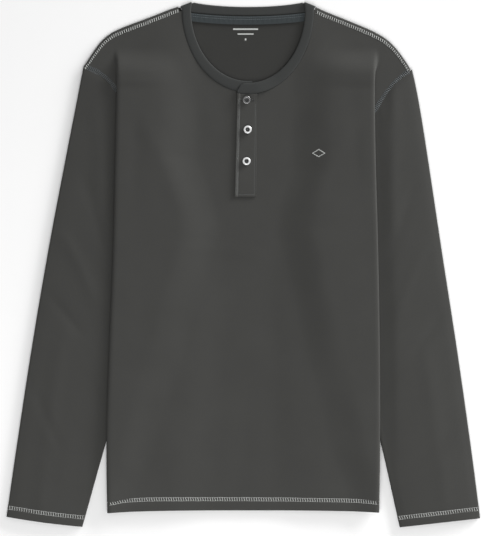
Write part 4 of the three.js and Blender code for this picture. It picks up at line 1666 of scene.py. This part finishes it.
@dataclass
class Button:
    """A round button with a raised rim, a dished middle and four holes."""

    node: str
    dresser: Dresser
    radius: float = 0.0057
    height: float = 0.0024
    rim: float = 0.0023
    dish: float = 0.0009
    hole: float = 0.00075
    hole_out: float = 0.0014
    tilt: float = 0.0
    # Whether the rim takes the darker copy of its plating, a painted dark reflection.
    painted_dark_reflection: bool = False
    facets: int = 48

    def dress(self) -> list[Object]:
        """Builds the button and its thread and puts them on the frame.

        Returns:
            The button and the thread.
        """
        low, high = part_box(self.node)
        at = (Vector(low) + Vector(high)) / 2
        at.z = low[2] + self.radius * abs(math.sin(self.tilt))
        profile = self._profile()
        bm = bmesh.new()
        verts = [bm.verts.new((x, 0, z)) for x, z in profile]
        edges = [bm.edges.new(pair) for pair in zip(verts, verts[1:])]
        bmesh.ops.spin(bm, geom=verts + edges, cent=(0, 0, 0), axis=(0, 0, 1), angle=2 * math.pi,
                       steps=self.facets, use_merge=True)
        bmesh.ops.remove_doubles(bm, verts=bm.verts, dist=1e-6)
        bmesh.ops.recalc_face_normals(bm, faces=bm.faces)
        turn = Matrix.Translation(at) @ Matrix.Rotation(self.tilt, 4, "X")
        body = to_object(bm, f"{self.node}_shell", sharp=0.9)
        wardrobe = self.dresser.wardrobe
        # The darker rim paints the dark reflection that the tilted top button shows.
        body.data.materials.append(wardrobe.rim_painted_dark_reflection if self.painted_dark_reflection else wardrobe.rim)
        body.data.materials.append(wardrobe.dish)
        self._drill(body)
        inner = self.radius - self.rim - self.dish * 0.2
        for face in body.data.polygons:
            middle = face.center
            if middle.xy.length < inner and middle.z > self.height * 0.3:
                face.material_index = 1
        body.data.transform(turn)
        self.dresser.place(body, wardrobe.rim, "button", self.node)
        return [body, self._thread(turn)]

    def _profile(self) -> list[Plan]:
        """Half of the button's section, from the axis under it to the axis on top."""
        r, h, e = self.radius, self.height, 0.0005
        points = [(0.0, 0.0), (r - e, 0.0)]
        points += [(r - e + e * math.sin(a), e - e * math.cos(a))
                   for a in (math.pi / 2 * k / 4 for k in range(1, 5))]
        crown = self.rim * 0.40
        points += [(r - crown + crown * math.cos(a), h - crown + crown * math.sin(a))
                   for a in (math.pi / 2 * k / 6 for k in range(0, 7))]
        foot = r - self.rim - self.dish / 2
        points += [(r - self.rim, h - 0.0001), (foot + 0.0002, h - self.dish + 0.0002),
                   (foot - 0.0002, h - self.dish), (0.0, h - self.dish)]
        return points

    def _drill(self, body: Object) -> None:
        """Drills the four holes."""
        bm = bmesh.new()
        for k in range(4):
            a = math.pi / 4 + math.pi / 2 * k
            shift = Matrix.Translation(self.hole_out * Vector((math.cos(a), math.sin(a), 0)))
            bmesh.ops.create_cone(bm, cap_ends=True, segments=16, radius1=self.hole,
                                  radius2=self.hole, depth=4 * self.height, matrix=shift)
        drill = to_object(bm, "drill")
        step = body.modifiers.new("holes", "BOOLEAN")
        step.operation, step.solver, step.object = "DIFFERENCE", "EXACT", drill
        shaped = bpy.data.meshes.new_from_object(
            body.evaluated_get(bpy.context.evaluated_depsgraph_get()))
        body.modifiers.clear()
        old, body.data = body.data, shaped
        bpy.data.meshes.remove(old)
        bpy.data.objects.remove(drill)

    def _thread(self, turn: Matrix) -> Object:
        """The crossed thread that holds the button."""
        strands = Strands(f"{self.node}_thread")
        height = self.height - self.dish + 0.0001
        for k in (0, 1):
            a = math.pi / 4 + math.pi / 2 * k
            for shift in (-0.0001, 0.00012):
                side = Vector((-math.sin(a), math.cos(a), 0)) * shift
                reach = Vector((math.cos(a), math.sin(a), 0)) * (self.hole_out + 0.0002)
                up = Vector((0, 0, height + 0.00012 * k))
                strands.strand(up + side - reach, up + side + reach, UP, 0.00016)
        strands.gather()
        strands.bm.transform(turn)
        return strands.dress(self.dresser, self.dresser.wardrobe.tonal_thread)


# Sewing


class Strands:
    """Many short plump stitches in one mesh."""

    batch = 40

    def __init__(self, name: str) -> None:
        """Starts an empty mesh, and a small one that new stitches go into."""
        self.name = name
        self.bm = bmesh.new()
        self.fresh = bmesh.new()
        self.waiting = 0

    def gather(self) -> None:
        """Moves the new stitches into the whole mesh; small batches keep the operators fast."""
        carrier = bpy.data.meshes.new("batch")
        self.fresh.to_mesh(carrier)
        self.bm.from_mesh(carrier)
        bpy.data.meshes.remove(carrier)
        self.fresh.clear()
        self.waiting = 0

    def strand(self, start: Vector, end: Vector, up: Vector, radius: float,
               flat: float = 0.8) -> None:
        """One stitch between two points, its ends a little sunk.

        Args:
            start: One end.
            end: The other end.
            up: The way that the cloth's face looks.
            radius: Half the thread's width.
            flat: The thread's height as a share of its width.
        """
        along = end - start
        length = along.length
        along = along.normalized()
        side = up.cross(along).normalized()
        rise = along.cross(side)
        middle = (start + end) / 2
        turn = Matrix.Identity(4)
        axes = side * radius, rise * radius * flat, along * (length / 2 + radius)
        for k, axis in enumerate(axes):
            turn.col[k][:3] = axis
        turn.col[3][:3] = middle
        bmesh.ops.create_uvsphere(self.fresh, u_segments=6, v_segments=5, radius=1, matrix=turn)
        self.waiting += 1
        if self.waiting == self.batch:
            self.gather()

    def row(self, line: Sequence[Vector], pitch: float, gap: float, radius: float) -> None:
        """A row of running stitches on the upper face.

        Args:
            line: Where the row runs.
            pitch: From one stitch to the next.
            gap: How far short of the needle's hole each stitch ends.
            radius: Half the thread's width.
        """
        spots = paced(line, pitch)
        for (a, along), (b, _) in zip(spots, spots[1:]):
            self.strand(a + along * gap, b - along * gap, UP, radius, 0.7)

    def dress(self, dresser: Dresser, material: Material) -> Object:
        """Puts the stitches on the frame.

        Args:
            dresser: Places pieces.
            material: The thread's finish.

        Returns:
            The stitches.
        """
        self.gather()
        obj = to_object(self.bm, self.name, sharp=3.0)
        return dresser.place(obj, material, "thread")


def paced(points: Sequence[Vector], pitch: float) -> list[tuple[Vector, Vector]]:
    """Points spaced evenly along a line.

    Args:
        points: The line.
        pitch: The distance between two of the new points.

    Returns:
        The new points, each with the direction of the line there.
    """
    runs = [0.0]
    for a, b in zip(points, points[1:]):
        runs.append(runs[-1] + (b - a).length)
    count = max(1, round(runs[-1] / pitch))
    found, k = [], 0
    for n in range(count + 1):
        run = runs[-1] * n / count
        while k < len(runs) - 2 and runs[k + 1] < run:
            k += 1
        span = max(1e-9, runs[k + 1] - runs[k])
        step = points[k + 1] - points[k]
        found.append((points[k] + step * ((run - runs[k]) / span), step.normalized()))
    return found


@dataclass
class Coverstitch:
    """A ladder of thread over a seam or hem: a row along each edge and slanting rungs between."""

    name: str
    dresser: Dresser
    width: float = 0.0047
    pitch: float = 0.0035
    row_weight: float = 0.85
    rung_weight: float = 1.35
    thread: float = 0.00031
    lean: float = 0.35
    wander: float = 0.00022
    sway: float = 0.22
    seed: int = 3

    def __post_init__(self) -> None:
        """Starts the mesh and the seeded wander of the threads."""
        self.strands = Strands(self.name)
        self.chance = random.Random(self.seed)

    def sew(self, line: Sequence[Vector], up: Vector,
            taper: Callable[[float], float] = lambda t: 1.0) -> None:
        """Sews along a line.

        Args:
            line: The middle of the stitch, on the cloth's face.
            up: The way that the cloth's face looks.
            taper: Gives the share of the usual width at a share of the way along.
        """
        places = paced(line, self.pitch)
        rails: list[tuple[Vector, Vector]] = []
        for k, (at, along) in enumerate(places):
            half = self.width / 2 * taper(k / len(places))
            side = up.cross(along).normalized()
            wander = self.chance.uniform(-self.wander, self.wander)
            rails.append((at + side * (half + wander), at - side * (half - wander)))
        rise = up * self.thread * 0.35
        for (a, b), (c, d) in zip(rails, rails[1:]):
            for start, end in ((a, c), (b, d)):
                radius = self.thread * self.row_weight
                self.strands.strand(start + rise, end + rise, up, radius, 0.9)
            lean = self.lean + self.chance.uniform(-self.sway, self.sway)
            top, foot = a.lerp(c, 0.5 - lean / 2), b.lerp(d, 0.5 + lean / 2)
            self.strands.strand(top + rise, foot + rise, up, self.thread * self.rung_weight, 0.7)

    def dress(self, material: Material) -> Object:
        """Puts the stitch on the frame."""
        return self.strands.dress(self.dresser, material)


@dataclass
class Sewing:
    """All the stitches of the shirt."""

    layout: BodyLayout
    dresser: Dresser
    front: BodyPanel
    sleeves: dict[Side, Sleeve]
    placket: Placket
    tape: NeckTape
    shoulder_inset: float = 0.0062
    tip_inset: float = 0.0040
    small: float = 0.0026
    back_hem_reach: float = 0.100

    def dress(self) -> dict[str, list[Object]]:
        """Sews every seam.

        Returns:
            The stitches by the name of the piece that they lie on.
        """
        done: dict[str, list[Object]] = {"front": [], "back": [], "placket": []}
        pale = self.dresser.wardrobe.pale_thread
        for side in Side:
            done["back"].append(self._shoulder(side).dress(pale))
            done["front"].append(self._armhole(side).dress(self.dresser.wardrobe.blue_thread))
            done[side.value] = [self._cuff(side).dress(pale)]
        done["front"].append(self._front_hem().dress(pale))
        done["back"].append(self._back_hem().dress(pale))
        done["placket"] += [self._placket_edge(), self._placket_rows(), self._buttonholes()]
        done["tape"] = [self._tape_rows()]
        return done

    def _shoulder(self, side: Side) -> Coverstitch:
        """The ladder along one shoulder seam."""
        stitch = Coverstitch(
            f"shoulder_stitch_{side.value}", self.dresser, width=0.0039, pitch=0.0033,
            row_weight=0.42, rung_weight=1.75, lean=0.3 * side.sign, seed=5 + side.sign)
        fold = shoulder_path(side, 0.0)[1:]
        line = []
        for k, (p, outwards) in enumerate(fold):
            inset = mix(self.shoulder_inset, self.tip_inset, ease((k / len(fold) - 0.5) / 0.5))
            at = p - inset * outwards
            line.append(self.dresser.shirt.point(side.sign * at.x, at.y, self.layout.tube_height))
        stitch.sew(line, UP, lambda t: mix(1.0, 0.5, ease((t - 0.45) / 0.5)))
        return stitch

    def _armhole(self, side: Side) -> Coverstitch:
        """The bluish ladder along one armhole, as far as it goes under the tuck."""
        stitch = Coverstitch(
            f"armhole_stitch_{side.value}", self.dresser, width=0.0060, pitch=0.0026,
            thread=0.00034, lean=0.3 * side.sign, row_weight=0.6, seed=11 + side.sign)
        seam = ARMHOLE_SEAM[side][1:]
        outs = Curve(sorted((down, out) for out, down in seam))
        shirt, top = self.dresser.shirt, self.layout.tube_height
        downs = shares(30, seam[0][1] + 0.002, ARMHOLE_STITCH_END[side])
        stitch.sew([shirt.point(side.sign * (outs.at(d) - 0.0008), d, top) for d in downs], UP)
        return stitch

    def _cuff(self, side: Side) -> Coverstitch:
        """The ladder round one cuff."""
        sleeve = self.sleeves[side]
        stitch = Coverstitch(f"cuff_stitch_{side.value}", self.dresser, seed=17 + side.sign)
        ring = [(sleeve.stitch_t(c), c) for c in shares(60, 0.012, 0.988)]
        stitch.sew([sleeve.top_point(t, c) for t, c in ring], UP)
        spots = [sleeve.spot(t, c) for t, c in ring]
        under = [self.dresser.shirt.point(side.sign * at.x, at.y, 0.0) for at in spots]
        stitch.sew(under, -UP)
        return stitch

    def _front_hem(self) -> Coverstitch:
        """The ladder along the front hem, into the folds at its ends."""
        stitch = Coverstitch("hem_stitch_front", self.dresser, seed=23)
        shirt, half = self.dresser.shirt, self.layout.cloth / 2
        line: list[Vector] = []
        for side in Side:
            spots: list[Vector] = []
            for p in self.layout.section(0.72, side):
                if p.part not in (Part.CENTRE, Part.BEND) or p.angle > 1.3:
                    continue
                out, height = p.on(Layer.FRONT)
                down = HEM_STITCH.at(side.sign * out)
                height += half * math.cos(p.angle)
                if p.part is Part.CENTRE:
                    height += self.front.relief(side.sign * out, down)
                out += half * math.sin(p.angle)
                spots.append(shirt.point(side.sign * out, down, height))
            line = spots[::-1] if side is Side.LEFT else line + spots[1:]
        stitch.sew(line, UP)
        return stitch

    def _back_hem(self) -> Coverstitch:
        """The ladder along the back hem, on the underside."""
        stitch = Coverstitch("hem_stitch_back", self.dresser, seed=29)
        stitch.sew([self.dresser.shirt.point(out, HEM_STITCH.at(0.0), 0.0)
                    for out in shares(60, -self.back_hem_reach, self.back_hem_reach)], -UP)
        return stitch

    def _placket_edge(self) -> Object:
        """The narrow ladder along the placket's free edge."""
        placket = self.placket
        stitch = Coverstitch("placket_edge_stitch", self.dresser, width=0.0024, pitch=0.0016,
                             thread=0.00022, lean=0.2, seed=37)
        share = 0.0027 / (placket.top_right - placket.top_left)
        above = placket.cloth / 2
        stitch.sew([placket.point(share, fall, above) for fall in shares(100, 0.05, 0.985)], UP)
        return stitch.dress(self.dresser.wardrobe.edge_thread)

    def _tape_rows(self) -> Object:
        """The rows that hold the tape over the back neck seam."""
        strands = Strands("tape_stitch")
        tape = self.tape
        top = self.layout.cloth + self.layout.gap + self.layout.cloth / 2 + tape.thickness / 2
        for below in (0.0014, 0.0046):
            line = [self.dresser.shirt.point(out, tape.down(out) + below, top)
                    for out in shares(120, -tape.half, tape.half)]
            strands.row(line, 0.0030, 0.0005, 0.00028)
        return strands.dress(self.dresser, self.dresser.wardrobe.blue_thread)

    def _placket_rows(self) -> Object:
        """The single rows along the placket's free edge, its right edge and its foot."""
        strands = Strands("placket_stitch")
        placket = self.placket
        width = placket.top_right - placket.top_left
        length = placket.bottom - placket.top_at(0)
        above = placket.cloth / 2
        left, right = placket.edge_stitch / width, 1 - placket.right_stitch / width
        foot = 1 - placket.bottom_stitch / length
        rows = (
            [(left, fall) for fall in shares(80, 0.0, foot)],
            [(right, fall) for fall in shares(80, 0.10, foot)],
            [(share, foot) for share in shares(30, left, right)],
        )
        for row in rows:
            line = [placket.point(share, fall, above) for share, fall in row]
            strands.row(line, self.small, 0.00035, 0.00024)
        return strands.dress(self.dresser, self.dresser.wardrobe.tonal_thread)

    def _buttonholes(self) -> Object:
        """The worked buttonholes: one lies across under the top button, two run down."""
        strands = Strands("buttonhole_stitch")
        face, above = self.placket.face, 0.00020
        holes = (((0.0002, 0.1416), (0.0186, 0.0)), ((-0.0006, 0.1840), (0.0, 0.0150)),
                 ((-0.0022, 0.2295), (0.0, 0.0150)))
        for (out, down), (wide, long) in holes:
            for side in (-1, 1):
                for t in shares(26, -0.5, 0.5):
                    x, y = out + wide * t, down + long * t
                    reach = 0.0009 * side
                    shift = (0.0, reach) if wide else (reach, 0.0)
                    first = face(x + 0.2 * shift[0], y + 0.2 * shift[1], above)
                    last = face(x + shift[0], y + shift[1], above)
                    strands.strand(first, last, UP, 0.00030, 0.7)
        return strands.dress(self.dresser, self.dresser.wardrobe.dark_thread)


@dataclass
class PlainMarks:
    """Plain marks with no letters: two printed bars and a dot inside the neck, and a small
    stitched lozenge on the chest."""

    layout: BodyLayout
    dresser: Dresser
    front: BodyPanel
    back: BodyPanel
    print_height: float = 0.00006
    lozenge: Plan = (0.1015, 0.2180)
    lozenge_half: Plan = (0.0088, 0.0052)

    def dress(self) -> dict[str, Object]:
        """Makes the marks.

        Returns:
            The mark on the front and the mark on the back.
        """
        return {"front": self._lozenge(), "back": self._bars()}

    def _bars(self) -> Object:
        """Two plain printed bars and a dot inside the back neck."""
        bm = bmesh.new()
        bm.verts.layers.float_vector.new("cut")
        bars = ((-0.0035, 0.0392, 0.0360, 0.0022), (-0.0035, 0.0462, 0.0230, 0.0018),
                (-0.0035, 0.0540, 0.0022, 0.0030))
        shirt = self.dresser.shirt
        for out, down, wide, deep in bars:
            made = bmesh.ops.create_grid(bm, x_segments=24, y_segments=2, size=0.5)["verts"]
            for v in made:
                x, y = out + v.co.x * wide, down - v.co.y * deep
                top = self.layout.cloth + self.back.relief(x, y) + self.print_height
                v.co = shirt.point(x, y, top)
        thicken(bm, self.print_height)
        obj = to_object(bm, "neck_print_bars")
        return self.dresser.place(obj, self.dresser.wardrobe.pale_thread, "thread")

    def _lozenge(self) -> Object:
        """A small plain lozenge sewn in satin stitch."""
        strands = Strands("chest_lozenge")
        out, down = self.lozenge
        wide, deep = self.lozenge_half
        corners = [(out - wide, down), (out, down - deep), (out + wide, down), (out, down + deep)]
        shirt = self.dresser.shirt
        for (ax, ay), (bx, by) in zip(corners, corners[1:] + corners[:1]):
            for k in range(24):
                x, y = mix(ax, bx, k / 24), mix(ay, by, k / 24)
                top = self.layout.front_top(x, y) + self.front.relief(x, y) - 0.00004
                at = shirt.point(x, y, top)
                across = Vector((x - out, -(y - down), 0)).normalized() * 0.0006
                strands.strand(at - across, at + across, UP, 0.00024, 0.7)
        return strands.dress(self.dresser, self.dresser.wardrobe.pale_thread)


@dataclass
class Studio:
    """Pale floor, soft lights and the camera straight above."""

    wardrobe: Wardrobe
    aim: Plan = (-0.0019, -0.0050)
    camera_height: float = 3.0
    frame_long: float = 0.77184
    sensor: float = 36.0
    floor_size: float = 12.0
    floor_drop: float = 0.0005

    def floor(self) -> Object:
        """The floor, a plain pale surface just under the shirt."""
        bm = bmesh.new()
        bmesh.ops.create_grid(bm, x_segments=4, y_segments=4, size=self.floor_size / 2)
        bmesh.ops.translate(bm, verts=bm.verts, vec=(0, 0, -self.floor_drop))
        obj = to_object(bm, "studio_floor")
        obj.data.materials.append(self.wardrobe.floor)
        return obj

    @staticmethod
    def _soft_light(name: str, place: Vector, size: Plan, power: float) -> None:
        """An area light aimed at the middle of the shirt."""
        light = bpy.data.lights.new(name, "AREA")
        light.shape, light.size, light.size_y, light.energy = "RECTANGLE", *size, power
        obj = bpy.data.objects.new(name, light)
        obj.location = place
        obj.rotation_mode = "QUATERNION"
        obj.rotation_quaternion = (-place).to_track_quat("-Z", "Y")
        obj.visible_camera = False
        bpy.context.scene.collection.objects.link(obj)

    def lights(self) -> None:
        """Soft light from above, a broad one from the upper right and a low one beside it."""
        world = bpy.data.worlds.new("studio")
        world.use_nodes = True
        back = world.node_tree.nodes["Background"]
        back.inputs["Color"].default_value = (1, 1, 1, 1)
        back.inputs["Strength"].default_value = 0.35
        bpy.context.scene.world = world
        self._soft_light("overhead", Vector((-0.1, -1.6, 1.9)), (2.0, 2.0), 48.0)
        self._soft_light("key", Vector((1.9, 0.9, 1.7)), (1.2, 1.2), 8.0)
        self._soft_light("low", Vector((3.45, 2.90, 0.76)), (3.6, 0.9), 450.0)

    def camera(self) -> None:
        """The camera straight above, with the neck at the top of the picture."""
        data = bpy.data.cameras.new("camera")
        data.sensor_width = self.sensor
        data.lens = self.sensor * self.camera_height / self.frame_long
        data.clip_end = 20
        obj = bpy.data.objects.new("camera", data)
        obj.location = (*self.aim, self.camera_height)
        bpy.context.scene.collection.objects.link(obj)
        bpy.context.scene.camera = obj

    def build(self) -> None:
        """Sets up the whole studio."""
        self.floor()
        self.lights()
        self.camera()
        bpy.context.scene.view_settings.view_transform = "Standard"


def main() -> None:
    """Dresses the shirt piece by piece."""
    logging.basicConfig(level=logging.INFO, format="%(name)s: %(message)s")
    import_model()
    shirt = Placement.from_button("button_middle", -0.0006, 0.184)
    wardrobe = Wardrobe()
    dresser = Dresser(shirt, wardrobe)
    layout = BodyLayout()

    back_panel = BodyPanel(Layer.BACK, layout, dresser, cell=0.0052)
    front_panel = BodyPanel(Layer.FRONT, layout, dresser)
    sleeves = {
        Side.LEFT: Sleeve(Side.LEFT, layout, dresser),
        Side.RIGHT: Sleeve(Side.RIGHT, layout, dresser, crown=0.0027, crown_ramp=0.026,
                           crevice=0.0008),
    }
    placket = Placket(layout, dresser)

    back, front = back_panel.dress(), front_panel.dress()
    arms = {side: sleeve.dress() for side, sleeve in sleeves.items()}
    band = Neckband(layout, dresser).dress()
    tape = NeckTape(layout, dresser)
    ribbon = tape.dress()
    under, upper = placket.under(), placket.upper()
    # The top button, tilted most, gets the rim with the painted dark reflection.
    tilts = {"button_top": 0.20, "button_middle": 0.02, "button_bottom": -0.02}
    fasteners = {node: Button(node, dresser, tilt=tilt, painted_dark_reflection=tilt > 0.1).dress()
                 for node, tilt in tilts.items()}
    sewn = Sewing(layout, dresser, front_panel, sleeves, placket, tape).dress()
    marks = PlainMarks(layout, dresser, front_panel, back_panel).dress()

    list(arms.values())
    list(sewn["back"])
    list(sewn["front"])
    for side, arm in arms.items():
        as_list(sewn[side.value])
    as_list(sewn["tape"])
    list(sewn["placket"])
    [p for pair in fasteners.values() for p in pair]

    Studio(wardrobe).build()


if __name__ == "__main__":
    main()
